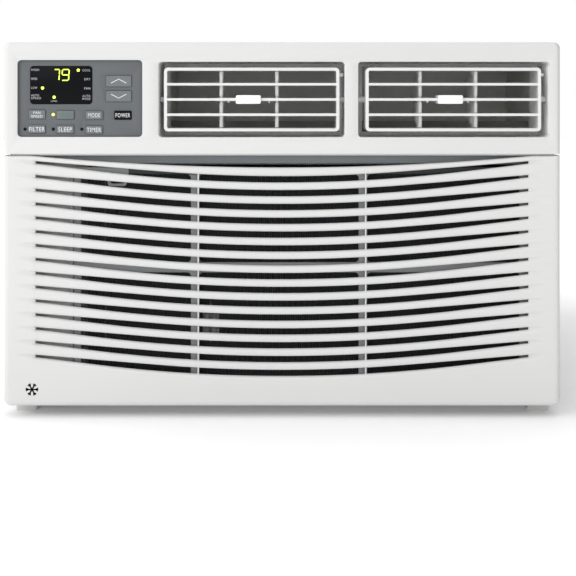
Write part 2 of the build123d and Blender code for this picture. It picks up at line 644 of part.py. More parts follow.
# ---- refrigeration ----
def fin_pack(x0, x1, y0, y1, z0, z1, pitch, web=1.2, fin=0.7):
    """Upright fins on a thin web, with thicker end plates."""
    middle = (y0 + y1) / 2
    count = int((x1 - x0) / pitch)
    step = (x1 - x0 - fin) / count
    centres = [x0 + fin / 2 + step * k for k in range(count + 1)]
    near, far = [], []
    for left, right in [(x - fin / 2, x + fin / 2) for x in centres]:
        for side, root, tip in ((near, middle - web / 2, y0), (far, middle + web / 2, y1)):
            side += [(left, root), (left, tip), (right, tip), (right, root)]
    outline = near[1:-1] + far[-2:0:-1]
    return Pos(0, 0, z0) * extrude(Polygon(*outline, align=None), z1 - z0)


def coil_path(x0, x1, y_far, y_near, rows):
    """Down the far column of rows, across, and up the near column; both ends are at the left."""
    path = []
    bend = (rows[0] - rows[1]) / 2
    at = x0
    for y, column in ((y_far, rows), (y_near, rows[::-1])):
        for k, z in enumerate(column):
            to = x1 if at == x0 else x0
            path.append(Line((at, y, z), (to, y, z)))
            at = to
            out = bend if at == x1 else -bend
            if k < len(column) - 1:
                nxt = column[k + 1]
                path.append(ThreePointArc((at, y, z), (at + out, y, (z + nxt) / 2), (at, y, nxt)))
        if y == y_far:
            half = abs(y_near - y_far) / 2
            path.append(ThreePointArc((at, y_far, z), (at - half, (y_far + y_near) / 2, z), (at, y_near, z)))
    return Wire(path)


def coil_tubes(coil, rows, overhang):
    x0, x1, y0, y1 = coil[:4]
    path = coil_path(x0 - overhang, x1 + overhang, y1 - 11, y0 + 11, rows)
    section = Plane(origin=path @ 0, z_dir=path % 0) * Circle(TUBE_R)
    return sweep(section, path=path)


def coil_sensor_clip():
    """Clip that holds the temperature sensor on the front of the evaporator."""
    front = EVAPORATOR[2]
    body = block(-82, -65, front - 3.0, front, 71, 103) - block(-79, -68, front - 4, front - 1.2, 76, 98)
    return body + post(-73.5, front - 1.9, 0.9, 69, 112)


def compressor():
    """Rotary compressor: welded can on a three-legged base plate."""
    x, y = COMPRESSOR
    can = fillet(post(x, y, COMPRESSOR_R, 36, 226).edges().sort_by(Axis.Z)[-1], 26)
    can = fillet(can.edges().sort_by(Axis.Z)[0], 10)
    base = Sketch() + [Pos(x, y) * Rot(0, 0, a) * Pos(32, 0) * SlotOverall(92, 28) for a in LEG_ANGLES]
    base = Plane.XY.offset(GROMMET_TOP) * base
    body = can + extrude(base, 6)
    for gx, gy in GROMMETS:
        body -= post(gx, gy, 4.3, GROMMET_TOP - 1, GROMMET_TOP + 7)
    return body + post(x, y, 7, 224, 232)


def compressor_grommets():
    rings = []
    for x, y in GROMMETS:
        ring = fillet(post(x, y, 12, FLOOR, GROMMET_TOP).edges(), 2)
        rings.append(ring - post(x, y, 4.0, FLOOR - 1, GROMMET_TOP + 1))
    return group(rings)


def compressor_bolts():
    """Studs welded to the pan, with nuts above the compressor's feet."""
    bolts = []
    for x, y in GROMMETS:
        nut = Plane.XY.offset(GROMMET_TOP + 6) * Pos(x, y) * RegularPolygon(7, 6)
        bolts.append(post(x, y, 3.9, FLOOR, GROMMET_TOP + 14) + extrude(nut, 6))
    return group(bolts)


def terminal_cover():
    """Moulded cap over the compressor's terminals."""
    x, y = COMPRESSOR
    body = block(x - 22, x + 22, y - COMPRESSOR_R - 16, y - COMPRESSOR_R + 14, 150, 190)
    body = fillet(body.edges().filter_by(Axis.Z), 3)
    return body - post(x, y, COMPRESSOR_R + 0.1, 140, 200)


def accumulator():
    x, y = ACCUMULATOR
    body = post(x, y, ACCUMULATOR_R, 70, 200)
    return fillet(body.edges(), 14)


def suction_pipe():
    """From the evaporator through the bulkhead to the accumulator, and from its foot to the compressor."""
    x, y = ACCUMULATOR
    high = [(EVAPORATOR[0] - 5, -191, SUCTION_Z), (SUCTION_X, -191, SUCTION_Z), (SUCTION_X, y, SUCTION_Z)]
    high += [(x, y, SUCTION_Z), (x, y, 199)]
    first = pipe(high, [6.5, 24, 20], 5.0)
    low = [(x, y, 71), (x, y, 52), (COMPRESSOR[0] + 48, y + 4, 52)]
    return group([first, pipe(low, [10], 5.0)])


def discharge_pipe():
    """From the compressor's head round to the top of the condenser."""
    x, y = COMPRESSOR
    side = CONDENSER[0] - 16
    top = CONDENSER_ROWS[0]
    near = CONDENSER[2] + 11
    points = [(x, y, 231), (x, y, 268), (side, y, 268), (side, near - 60, 268), (side, near - 20, top)]
    points += [(side, near, top), (CONDENSER[0] - 3, near, top)]
    return pipe(points, [20, 20, 16, 8, 5], 4.0)


def capillary_tube():
    """Thin tube from the bottom of the condenser over to the evaporator."""
    y = CONDENSER[3] - 11
    side = CONDENSER[0] - 26
    z = CONDENSER_ROWS[0]
    points = [(CONDENSER[0] - 3, y, z), (side, y, z), (side, y - 30, z), (side, 70, 300), (side, -30, 300)]
    points += [(CAPILLARY_X, -30, CAPILLARY_Z), (CAPILLARY_X, EVAPORATOR[2] + 11, CAPILLARY_Z)]
    points += [(CAPILLARY_X, EVAPORATOR[2] + 11, EVAPORATOR_ROWS[0])]
    return pipe(points, [8, 8, 20, 20, 20, 8], 1.4)


# ---- write every sub-part ----
PARTS = {
    "front_frame": front_frame,
    "front_screws": front_screws,
    "grip_recess": grip_recess,
    "feet": feet,
    "cord_gland": cord_gland,
    "intake_grille": intake_grille,
    "grille_badge": grille_badge,
    "filter_frame": filter_frame,
    "filter_mesh": filter_mesh,
    "control_fascia": control_fascia,
    "display_window": display_window,
    "indicator_leds": indicator_leds,
    "control_board": control_board,
    "control_box": control_box,
    "run_capacitor": run_capacitor,
    "discharge_duct": discharge_duct,
    "blower_housing": blower_housing,
    "blower_inlet_ring": blower_inlet_ring,
    "blower_wheel": blower_wheel,
    "motor_shaft": motor_shaft,
    "fan_motor": fan_motor,
    "motor_bracket": motor_bracket,
    "condenser_fan": condenser_fan,
    "fan_shroud": fan_shroud,
    "base_pan": base_pan,
    "cabinet": cabinet,
    "cabinet_screws": cabinet_screws,
    "bulkhead": bulkhead,
    "coil_sensor_clip": coil_sensor_clip,
    "compressor": compressor,
    "compressor_grommets": compressor_grommets,
    "compressor_bolts": compressor_bolts,
    "terminal_cover": terminal_cover,
    "accumulator": accumulator,
    "suction_pipe": suction_pipe,
    "discharge_pipe": discharge_pipe,
    "capillary_tube": capillary_tube,
}
for name, make in PARTS.items():
    save(make(), name)

for name, place in BUTTONS.items():
    save(button(*place), name)

for side, (x0, x1) in OUTLETS.items():
    centre = (x0 + x1) / 2
    save(louver_frame(centre, x1 - x0), f"louver_frame_{side}")
    save(vane_link(centre), f"vane_link_{side}")
    for number, dx in enumerate(VANES_X, 1):
        save(vane(centre + dx), f"vane_{side}_{number}")

save(fin_pack(*EVAPORATOR, 5.0), "evaporator_fins")
save(coil_tubes(EVAPORATOR, EVAPORATOR_ROWS, 5), "evaporator_tubes")
save(fin_pack(*CONDENSER, 6.0), "condenser_fins")
save(coil_tubes(CONDENSER, CONDENSER_ROWS, 3), "condenser_tubes")
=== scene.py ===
import json
from math import cos, pi, radians, sin, sqrt

import bmesh
import bpy
from mathutils import Matrix, Vector


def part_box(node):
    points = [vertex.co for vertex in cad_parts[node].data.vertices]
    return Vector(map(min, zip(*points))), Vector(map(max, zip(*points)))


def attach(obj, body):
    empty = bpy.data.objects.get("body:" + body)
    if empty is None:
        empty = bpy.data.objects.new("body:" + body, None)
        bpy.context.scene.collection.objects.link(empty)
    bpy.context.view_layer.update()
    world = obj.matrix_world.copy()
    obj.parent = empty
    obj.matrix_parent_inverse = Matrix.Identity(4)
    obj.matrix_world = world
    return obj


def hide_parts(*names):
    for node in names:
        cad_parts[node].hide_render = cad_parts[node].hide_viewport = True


# Window air conditioner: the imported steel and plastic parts, with moulded covers, woven filter, coil fins,
# pressed vents, key legends and finishes worked out from the frame. Metres throughout; MM turns millimetres.

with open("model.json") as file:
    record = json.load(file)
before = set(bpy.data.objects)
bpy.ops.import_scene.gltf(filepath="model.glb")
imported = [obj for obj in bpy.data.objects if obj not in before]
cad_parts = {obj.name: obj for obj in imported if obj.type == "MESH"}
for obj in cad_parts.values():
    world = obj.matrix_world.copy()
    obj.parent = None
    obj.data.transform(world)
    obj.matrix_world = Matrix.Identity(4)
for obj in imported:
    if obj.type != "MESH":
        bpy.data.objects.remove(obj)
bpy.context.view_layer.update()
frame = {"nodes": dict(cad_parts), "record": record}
MM = 0.001
NODES = frame["nodes"]
BODY_OF = {node: body for body, members in frame["record"]["behaviour"]["bodies"].items() for node in members}


# ---------------------------------------------------------------- places, from the frame
def span(node):
    """A node's box as six numbers: x0, x1, y0, y1, z0, z1."""
    low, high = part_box(node)
    return low.x, high.x, low.y, high.y, low.z, high.z


HALF_W = span("front_frame")[1]
FRONT = span("front_frame")[2]
GRILLE_LOW, GRILLE_TOP = span("intake_grille")[4:]
GRILLE_BACK = span("intake_grille")[3]


# ---------------------------------------------------------------- shader node groups
def new_group(name, inputs, outputs):
    """An empty shader group with float inputs {name: default} and outputs {name: socket type}."""
    tree = bpy.data.node_groups.new(name, "ShaderNodeTree")
    for label, default in inputs.items():
        socket = tree.interface.new_socket(label, in_out="INPUT", socket_type="NodeSocketFloat")
        socket.default_value = default
    for label, kind in outputs.items():
        tree.interface.new_socket(label, in_out="OUTPUT", socket_type=kind)
    return tree, tree.nodes.new("NodeGroupInput"), tree.nodes.new("NodeGroupOutput")


def maths(tree, operation, *values):
    """A math node fed with sockets or plain numbers; returns its result socket."""
    node = tree.nodes.new("ShaderNodeMath")
    node.operation = operation
    for socket, value in zip(node.inputs, values):
        if isinstance(value, (int, float)):
            socket.default_value = value
        else:
            tree.links.new(value, socket)
    return node.outputs[0]


def noise(tree, place, scale, detail=2.0):
    node = tree.nodes.new("ShaderNodeTexNoise")
    node.inputs["Detail"].default_value = detail
    tree.links.new(place, node.inputs["Vector"])
    if isinstance(scale, (int, float)):
        node.inputs["Scale"].default_value = scale
    else:
        tree.links.new(scale, node.inputs["Scale"])
    return node.outputs["Fac"]


def mould_grain_group():
    """Spark-eroded texture of moulded plastic: a fine height, and a slow tone that drifts over the part."""
    tree, source, sink = new_group(
        "mould_grain", {"Grain Scale": 900.0, "Drift Scale": 6.0},
        {"Height": "NodeSocketFloat", "Tone": "NodeSocketFloat"})
    place = tree.nodes.new("ShaderNodeTexCoord").outputs["Object"]
    fine = noise(tree, place, source.outputs["Grain Scale"], 3.0)
    slow = noise(tree, place, source.outputs["Drift Scale"], 2.0)
    tree.links.new(fine, sink.inputs["Height"])
    tone = maths(tree, "ADD", maths(tree, "MULTIPLY", fine, 0.25), maths(tree, "MULTIPLY", slow, 0.75))
    tree.links.new(tone, sink.inputs["Tone"])
    return tree


def drawn_metal_group():
    """Long rolling marks along one direction, with blotches of oxide."""
    tree, source, sink = new_group(
        "drawn_metal", {"Along X": 4.0, "Along Y": 60.0, "Along Z": 900.0},
        {"Height": "NodeSocketFloat", "Tone": "NodeSocketFloat"})
    place = tree.nodes.new("ShaderNodeTexCoord").outputs["Object"]
    stretch = tree.nodes.new("ShaderNodeCombineXYZ")
    for axis in "XYZ":
        tree.links.new(source.outputs[f"Along {axis}"], stretch.inputs[axis])
    scaled = tree.nodes.new("ShaderNodeVectorMath")
    scaled.operation = "MULTIPLY"
    tree.links.new(place, scaled.inputs[0])
    tree.links.new(stretch.outputs[0], scaled.inputs[1])
    marks = noise(tree, scaled.outputs[0], 1.0, 3.0)
    blotch = noise(tree, place, 22.0, 3.0)
    tree.links.new(marks, sink.inputs["Height"])
    tone = maths(tree, "ADD", maths(tree, "MULTIPLY", marks, 0.5), maths(tree, "MULTIPLY", blotch, 0.5))
    tree.links.new(tone, sink.inputs["Tone"])
    return tree


def inside_box_group():
    """1 inside a box, 0 outside it, in object coordinates."""
    tree, source, sink = new_group(
        "inside_box", {"X0": -1.0, "X1": 1.0, "Y0": -1.0, "Y1": 1.0, "Z0": -1.0, "Z1": 1.0},
        {"Mask": "NodeSocketFloat"})
    place = tree.nodes.new("ShaderNodeSeparateXYZ")
    tree.links.new(tree.nodes.new("ShaderNodeTexCoord").outputs["Object"], place.inputs[0])
    result = None
    for axis in "XYZ":
        above = maths(tree, "GREATER_THAN", place.outputs[axis], source.outputs[axis + "0"])
        below = maths(tree, "LESS_THAN", place.outputs[axis], source.outputs[axis + "1"])
        both = maths(tree, "MULTIPLY", above, below)
        result = both if result is None else maths(tree, "MULTIPLY", result, both)
    tree.links.new(result, sink.inputs["Mask"])
    return tree


def settled_dust_group():
    """Dust that lies thicker low down and in patches."""
    tree, source, sink = new_group(
        "settled_dust", {"Height": 0.1, "Amount": 0.3}, {"Mask": "NodeSocketFloat"})
    place = tree.nodes.new("ShaderNodeTexCoord").outputs["Object"]
    split = tree.nodes.new("ShaderNodeSeparateXYZ")
    tree.links.new(place, split.inputs[0])
    low = maths(tree, "SUBTRACT", 1.0, maths(tree, "DIVIDE", split.outputs["Z"], source.outputs["Height"]))
    low = maths(tree, "MAXIMUM", low, 0.12)
    patches = maths(tree, "MULTIPLY", noise(tree, place, 35.0, 4.0), low)
    tree.links.new(maths(tree, "MULTIPLY", patches, source.outputs["Amount"]), sink.inputs["Mask"])
    return tree


GRAIN = mould_grain_group()
DRAWN = drawn_metal_group()
INSIDE = inside_box_group()
DUST = settled_dust_group()


def place_group(tree, group, **values):
    node = tree.nodes.new("ShaderNodeGroup")
    node.node_tree = group
    for label, value in values.items():
        node.inputs[label.replace("_", " ")].default_value = value
    return node


def blend_colour(tree, factor, first, second):
    """Mixes two colours, each a tuple or a socket, by a varying factor."""
    mix = tree.nodes.new("ShaderNodeMix")
    mix.data_type = "RGBA"
    tree.links.new(factor, mix.inputs["Factor"])
    for label, value in (("A", first), ("B", second)):
        socket = [s for s in mix.inputs if s.name == label and s.type == "RGBA"][0]
        if isinstance(value, tuple):
            socket.default_value = (*value, 1.0)
        else:
            tree.links.new(value, socket)
    return [s for s in mix.outputs if s.type == "RGBA"][0]


def stretch_value(tree, value, low, high):
    """Maps 0.3..0.7, where noise mostly lies, to low..high."""
    node = tree.nodes.new("ShaderNodeMapRange")
    node.inputs["From Min"].default_value = 0.3
    node.inputs["From Max"].default_value = 0.7
    node.inputs["To Min"].default_value = low
    node.inputs["To Max"].default_value = high
    tree.links.new(value, node.inputs["Value"])
    return node.outputs["Result"]


def bumped(tree, shader, height, strength, distance):
    bump = tree.nodes.new("ShaderNodeBump")
    bump.inputs["Strength"].default_value = strength
    bump.inputs["Distance"].default_value = distance
    tree.links.new(height, bump.inputs["Height"])
    tree.links.new(bump.outputs[0], shader.inputs["Normal"])


def new_material(name):
    material = bpy.data.materials.new(name)
    material.use_nodes = True
    tree = material.node_tree
    return material, tree, tree.nodes["Principled BSDF"]


# ---------------------------------------------------------------- finishes
def moulded_plastic(name, colour, roughness=0.45, grain=900.0, bump=0.12, shade=0.05, dust=0.0, gloss=0.5):
    """Moulded plastic: grain in the gloss and bump, a slight drift of tone, and dust where wanted."""
    material, tree, shader = new_material(name)
    texture = place_group(tree, GRAIN, Grain_Scale=grain)
    tone = stretch_value(tree, texture.outputs["Tone"], 0.0, 1.0)
    darker = tuple(c * (1 - shade) for c in colour)
    surface = blend_colour(tree, tone, darker, tuple(min(1.0, c * (1 + shade / 3)) for c in colour))
    if dust:
        layer = place_group(tree, DUST, Height=0.12, Amount=dust)
        surface = blend_colour(tree, layer.outputs["Mask"], surface, (0.34, 0.32, 0.29))
    tree.links.new(surface, shader.inputs["Base Color"])
    tree.links.new(stretch_value(tree, texture.outputs["Tone"], roughness - 0.05, roughness + 0.07),
                   shader.inputs["Roughness"])
    shader.inputs["Specular IOR Level"].default_value = gloss
    bumped(tree, shader, texture.outputs["Height"], bump, 0.00012)
    return material


def in_box(material, box, colour):
    """Gives a plastic another colour inside the box x0, x1, y0, y1, z0, z1."""
    tree = material.node_tree
    shader = tree.nodes["Principled BSDF"]
    outside = shader.inputs["Base Color"].links[0].from_socket
    mask = place_group(tree, INSIDE, **dict(zip(("X0", "X1", "Y0", "Y1", "Z0", "Z1"), box)))
    tree.links.new(blend_colour(tree, mask.outputs["Mask"], outside, colour), shader.inputs["Base Color"])
    return material


def sheet_metal(name, colour, roughness=0.35, metallic=1.0, marks=(4.0, 60.0, 900.0), bump=0.15, shade=0.25):
    """Rolled or drawn metal with marks along it."""
    material, tree, shader = new_material(name)
    texture = place_group(tree, DRAWN, Along_X=marks[0], Along_Y=marks[1], Along_Z=marks[2])
    tone = stretch_value(tree, texture.outputs["Tone"], 0.0, 1.0)
    darker = tuple(c * (1 - shade) for c in colour)
    tree.links.new(blend_colour(tree, tone, darker, colour), shader.inputs["Base Color"])
    tree.links.new(stretch_value(tree, texture.outputs["Tone"], roughness - 0.08, roughness + 0.12),
                   shader.inputs["Roughness"])
    shader.inputs["Metallic"].default_value = metallic
    bumped(tree, shader, texture.outputs["Height"], bump, 0.0001)
    return material


def glowing(name, colour, strength):
    """Lit segment or lamp: brightest in the middle grain of its diffuser."""
    material, tree, shader = new_material(name)
    texture = place_group(tree, GRAIN, Grain_Scale=2500.0)
    tone = stretch_value(tree, texture.outputs["Height"], 0.0, 1.0)
    glow = blend_colour(tree, tone, tuple(c * 0.85 for c in colour), colour)
    tree.links.new(glow, shader.inputs["Emission Color"])
    tree.links.new(glow, shader.inputs["Base Color"])
    shader.inputs["Emission Strength"].default_value = strength
    shader.inputs["Roughness"].default_value = 0.35
    return material


OUTLET_LOW, OUTLET_HIGH = span("louver_frame_left")[4:]
OUTLET_BOX = (span("louver_frame_left")[0] - 4 * MM, span("louver_frame_right")[1] + 4 * MM,
              FRONT + 1.6 * MM, 0.3, OUTLET_LOW - 10 * MM, OUTLET_HIGH + 10 * MM)
WHITE = (0.630, 0.630, 0.625)
# Painted light: a colour brighter than the panel white, for the panel's walls inside the deep outlet tunnels.
TUNNEL_PAINTED_LIGHT = (0.90, 0.90, 0.90)
# Box for painted shade on the louver rings: the parts more than 9 mm behind the front face.
RING_PAINTED_SHADE_BOX = (-1.0, 1.0, FRONT + 9 * MM, 0.0, 0.0, 1.0)
SHADED_BAR = (-155 * MM, 1.0, -1.0, 1.0, 242.8 * MM, 1.0)   # top bar of the filter, right of its pull hoop
LIP_Z = span("grip_recess")[5]

# Inside OUTLET_BOX the panel plastic takes the lighter colour: painted light on the outlet tunnel walls.
PANEL_WHITE = in_box(moulded_plastic("panel_white", WHITE, 0.42, 1100.0, 0.08, 0.02), OUTLET_BOX, TUNNEL_PAINTED_LIGHT)
GRILLE_WHITE = moulded_plastic("grille_white", WHITE, 0.42, 1100.0, 0.08, 0.02)
LOUVER_WHITE = moulded_plastic("louver_white", (0.84, 0.84, 0.83), 0.38, 1300.0, 0.06, 0.02)
RING_WHITE = moulded_plastic("ring_white", (0.69, 0.69, 0.685), 0.38, 1300.0, 0.06, 0.02)
# Painted shade: the louver rings are darker where they lie deep in the outlet recess.
RING_WHITE = in_box(RING_WHITE, RING_PAINTED_SHADE_BOX, (0.62, 0.62, 0.615))
FASCIA_GREY = moulded_plastic("fascia_grey", (0.108, 0.119, 0.125), 0.48, 1500.0, 0.10, 0.06, gloss=0.35)
KEY_GREY = moulded_plastic("key_grey", (0.140, 0.153, 0.160), 0.42, 1500.0, 0.08, 0.05, gloss=0.4)
KEY_BLACK = moulded_plastic("key_black", (0.005, 0.005, 0.006), 0.35, 1500.0, 0.06, 0.2, gloss=0.08)
RECESS_GREY = moulded_plastic("recess_grey", (0.185, 0.203, 0.212), 0.5, 1100.0, 0.10, 0.06)
FILTER_GREY = moulded_plastic("filter_grey", (0.26, 0.27, 0.275), 0.5, 1100.0, 0.10, 0.08)
FILTER_GREY = in_box(FILTER_GREY, SHADED_BAR, (0.020, 0.022, 0.024))
FILTER_NET = moulded_plastic("filter_net", (0.010, 0.012, 0.014), 0.6, 2600.0, 0.2, 0.3)
DUCT_GREY = moulded_plastic("duct_grey", (0.74, 0.735, 0.71), 0.65, 500.0, 0.25, 0.12)
TRIM_GREY = moulded_plastic("trim_grey", (0.84, 0.84, 0.83), 0.6, 900.0, 0.12, 0.05)
RAMP_GREY = moulded_plastic("ramp_grey", (0.17, 0.17, 0.167), 0.65, 500.0, 0.25, 0.12)
SCROLL_FOAM = moulded_plastic("scroll_foam", (0.70, 0.70, 0.68), 0.7, 260.0, 0.5, 0.10)
BLOWER_BLACK = moulded_plastic("blower_black", (0.030, 0.030, 0.033), 0.45, 900.0, 0.12, 0.2)
TERMINAL_BLACK = moulded_plastic("terminal_black", (0.020, 0.020, 0.021), 0.5, 900.0, 0.15, 0.2)
RUBBER = moulded_plastic("rubber", (0.016, 0.016, 0.016), 0.75, 1400.0, 0.3, 0.25, dust=0.3)
BOARD_GREEN = moulded_plastic("board_green", (0.020, 0.13, 0.055), 0.35, 2200.0, 0.05, 0.2)
LENS_BLACK = moulded_plastic("lens_black", (0.0055, 0.0058, 0.0072), 0.22, 700.0, 0.01, 0.2, gloss=0.05)
BADGE_BLACK = moulded_plastic("badge_black", (0.010, 0.010, 0.010), 0.3, 1500.0, 0.05, 0.2, gloss=0.2)
LEGEND_WHITE = moulded_plastic("legend_white", (0.68, 0.70, 0.71), 0.5, 3000.0, 0.05, 0.10)
LEGEND_DIM = moulded_plastic("legend_dim", (0.40, 0.41, 0.42), 0.5, 3000.0, 0.05, 0.10)
LEGEND_GREEN = moulded_plastic("legend_green", (0.055, 0.19, 0.12), 0.5, 3000.0, 0.05, 0.10)
LAMP_DARK = moulded_plastic("lamp_dark", (0.004, 0.004, 0.004), 0.25, 3000.0, 0.02, 0.2, gloss=0.1)
LAMP_LIT = glowing("lamp_lit", (0.80, 1.0, 0.12), 1.1)
SEGMENT_LIT = glowing("segment_lit", (0.72, 0.95, 0.08), 1.0)
CABINET_PAINT = sheet_metal("cabinet_paint", (0.63, 0.635, 0.63), 0.42, 0.0, (160.0, 160.0, 160.0),
                            0.12, 0.03)
GALVANISED = sheet_metal("galvanised", (0.55, 0.57, 0.59), 0.38, 1.0, (30.0, 30.0, 30.0), 0.1, 0.3)
PAN_STEEL = sheet_metal("pan_steel", (0.50, 0.51, 0.53), 0.45, 1.0, (14.0, 90.0, 90.0), 0.2, 0.3)
SCREW_STEEL = sheet_metal("screw_steel", (0.60, 0.60, 0.62), 0.3, 1.0, (400.0, 400.0, 400.0), 0.1, 0.2)
CAN_ALUMINIUM = sheet_metal("can_aluminium", (0.66, 0.66, 0.67), 0.3, 1.0, (600.0, 600.0, 12.0), 0.08, 0.15)
EVAPORATOR_BLUE = sheet_metal("evaporator_blue", (0.055, 0.115, 0.120), 0.5, 0.6, (500.0, 40.0, 12.0),
                              0.1, 0.4)
CONDENSER_FIN = sheet_metal("condenser_fin", (0.68, 0.69, 0.70), 0.42, 0.8, (300.0, 40.0, 40.0), 0.03, 0.12)
COPPER = sheet_metal("copper", (0.72, 0.33, 0.17), 0.3, 1.0, (60.0, 60.0, 60.0), 0.08, 0.4)
COPPER_DULL = sheet_metal("copper_dull", (0.060, 0.040, 0.032), 0.55, 0.4, (60.0, 60.0, 60.0), 0.08, 0.4)
COMPRESSOR_BLACK = sheet_metal("compressor_black", (0.014, 0.014, 0.015), 0.28, 0.0, (90.0, 90.0, 90.0),
                               0.15, 0.3)
MOTOR_GREY = sheet_metal("motor_grey", (0.10, 0.10, 0.11), 0.4, 0.3, (90.0, 300.0, 90.0), 0.15, 0.3)

CAD_FINISHES = {
    "front_frame": PANEL_WHITE, "feet": GRILLE_WHITE, "intake_grille": GRILLE_WHITE,
    "grille_badge": BADGE_BLACK,
    "louver_frame_left": RING_WHITE, "louver_frame_right": RING_WHITE, "vane_left_1": LOUVER_WHITE,
    "vane_left_2": LOUVER_WHITE, "vane_right_1": LOUVER_WHITE, "vane_right_2": LOUVER_WHITE,
    "vane_link_left": LOUVER_WHITE, "vane_link_right": LOUVER_WHITE, "control_fascia": FASCIA_GREY,
    "grip_recess": RECESS_GREY, "filter_frame": FILTER_GREY, "filter_mesh": FILTER_NET,
    "display_window": LENS_BLACK, "indicator_leds": LAMP_DARK, "control_board": BOARD_GREEN,
    "control_box": GALVANISED, "bulkhead": GALVANISED, "motor_bracket": GALVANISED, "base_pan": PAN_STEEL,
    "cabinet": CABINET_PAINT, "front_screws": SCREW_STEEL, "cabinet_screws": SCREW_STEEL,
    "compressor_bolts": SCREW_STEEL, "motor_shaft": SCREW_STEEL, "run_capacitor": CAN_ALUMINIUM,
    "coil_sensor_clip": CAN_ALUMINIUM, "discharge_duct": DUCT_GREY, "blower_housing": SCROLL_FOAM,
    "blower_inlet_ring": DUCT_GREY, "fan_shroud": DUCT_GREY, "blower_wheel": BLOWER_BLACK,
    "condenser_fan": BLOWER_BLACK, "fan_motor": MOTOR_GREY, "evaporator_fins": EVAPORATOR_BLUE,
    "condenser_fins": CONDENSER_FIN, "evaporator_tubes": COPPER_DULL, "condenser_tubes": COPPER,
    "suction_pipe": COPPER, "discharge_pipe": COPPER, "capillary_tube": COPPER,
    "compressor": COMPRESSOR_BLACK,
    "accumulator": COMPRESSOR_BLACK, "compressor_grommets": RUBBER, "cord_gland": RUBBER,
    "terminal_cover": TERMINAL_BLACK,
}
for node, thing in NODES.items():
    finish = CAD_FINISHES.get(node) or (KEY_BLACK if node == "button_power" else KEY_GREY)
    thing.data.materials.clear()
    thing.data.materials.append(finish)


# ---------------------------------------------------------------- mesh helpers
def link_piece(name, mesh, material, body, node=None):
    """Puts a finished mesh in the scene: it rides on a body and may stand for a CAD node."""
    mesh.materials.clear()
    mesh.materials.append(material)
    thing = bpy.data.objects.new(name, mesh)
    bpy.context.scene.collection.objects.link(thing)
    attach(thing, body)
    if node:
        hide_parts(node)
    return thing


def settle(thing):
    """The evaluated mesh of an object as a plain mesh, with its modifiers gone."""
    bpy.context.view_layer.update()
    view = bpy.context.evaluated_depsgraph_get()
    mesh = bpy.data.meshes.new_from_object(thing.evaluated_get(view), depsgraph=view)
    thing.modifiers.clear()
    return mesh


def scratch(name, mesh):
    thing = bpy.data.objects.new(name, mesh)
    bpy.context.scene.collection.objects.link(thing)
    return thing


def finished(thing, modifiers, angle=40.0):
    """Applies modifiers {type: settings} to a scratch object and returns its smooth-shaded mesh."""
    for kind, settings in modifiers:
        modifier = thing.modifiers.new(kind.lower(), kind)
        for label, value in settings.items():
            setattr(modifier, label, value)
    mesh = settle(thing)
    bpy.data.objects.remove(thing)
    mesh.polygons.foreach_set("use_smooth", [True] * len(mesh.polygons))
    mesh.set_sharp_from_angle(angle=radians(angle))
    return mesh


def softened(node, width):
    """A CAD part with its moulded edges rounded."""
    bm = bmesh.new()
    bm.from_mesh(NODES[node].data)
    bmesh.ops.remove_doubles(bm, verts=bm.verts, dist=2e-6)
    bmesh.ops.dissolve_limit(bm, angle_limit=radians(0.6), verts=bm.verts, edges=bm.edges)
    mesh = bpy.data.meshes.new(node + "_moulded")
    bm.to_mesh(mesh)
    bm.free()
    bevel = {"width": width, "segments": 2, "limit_method": "ANGLE", "angle_limit": radians(40),
             "use_clamp_overlap": True, "harden_normals": False}
    steps = [("BEVEL", bevel), ("WEIGHTED_NORMAL", {"keep_sharp": True})]
    mesh = finished(scratch(node + "_moulded", mesh), steps)
    return link_piece(node + "_moulded", mesh, NODES[node].data.materials[0], BODY_OF[node], node)


def add_box(bm, x0, x1, y0, y1, z0, z1):
    centre = Matrix.Translation(((x0 + x1) / 2, (y0 + y1) / 2, (z0 + z1) / 2))
    bmesh.ops.create_cube(bm, size=1.0, matrix=centre @ Matrix.Diagonal((x1 - x0, y1 - y0, z1 - z0, 1.0)))


def boxes_mesh(name, boxes):
    """Plain bars with softened edges, as one mesh."""
    bm = bmesh.new()
    for box in boxes:
        add_box(bm, *box)
    mesh = bpy.data.meshes.new(name)
    bm.to_mesh(mesh)
    bm.free()
    bevel = {"width": 0.3 * MM, "segments": 2, "limit_method": "ANGLE"}
    return finished(scratch(name, mesh), [("BEVEL", bevel)])


def mesh_of(name, verts, faces):
    mesh = bpy.data.meshes.new(name)
    mesh.from_pydata([tuple(v) for v in verts], [], faces)
    mesh.validate()
    return mesh


# ---------------------------------------------------------------- repeats, in Geometry Nodes
def rows_tree():
    """Copies a small shape along one step."""
    tree = bpy.data.node_groups.new("rows_of_copies", "GeometryNodeTree")
    face = tree.interface
    face.new_socket("Geometry", in_out="INPUT", socket_type="NodeSocketGeometry")
    face.new_socket("Count", in_out="INPUT", socket_type="NodeSocketInt")
    face.new_socket("Step", in_out="INPUT", socket_type="NodeSocketVector")
    face.new_socket("Material", in_out="INPUT", socket_type="NodeSocketMaterial")
    face.new_socket("Geometry", in_out="OUTPUT", socket_type="NodeSocketGeometry")
    new, link = tree.nodes.new, tree.links.new
    source, sink = new("NodeGroupInput"), new("NodeGroupOutput")
    line = new("GeometryNodeMeshLine")
    link(source.outputs["Count"], line.inputs["Count"])
    link(source.outputs["Step"], line.inputs["Offset"])
    copies, whole = new("GeometryNodeInstanceOnPoints"), new("GeometryNodeRealizeInstances")
    link(line.outputs["Mesh"], copies.inputs["Points"])
    link(source.outputs["Geometry"], copies.inputs["Instance"])
    link(copies.outputs["Instances"], whole.inputs["Geometry"])
    paint = new("GeometryNodeSetMaterial")
    link(whole.outputs["Geometry"], paint.inputs["Geometry"])
    link(source.outputs["Material"], paint.inputs["Material"])
    link(paint.outputs["Geometry"], sink.inputs["Geometry"])
    return tree


ROWS = rows_tree()


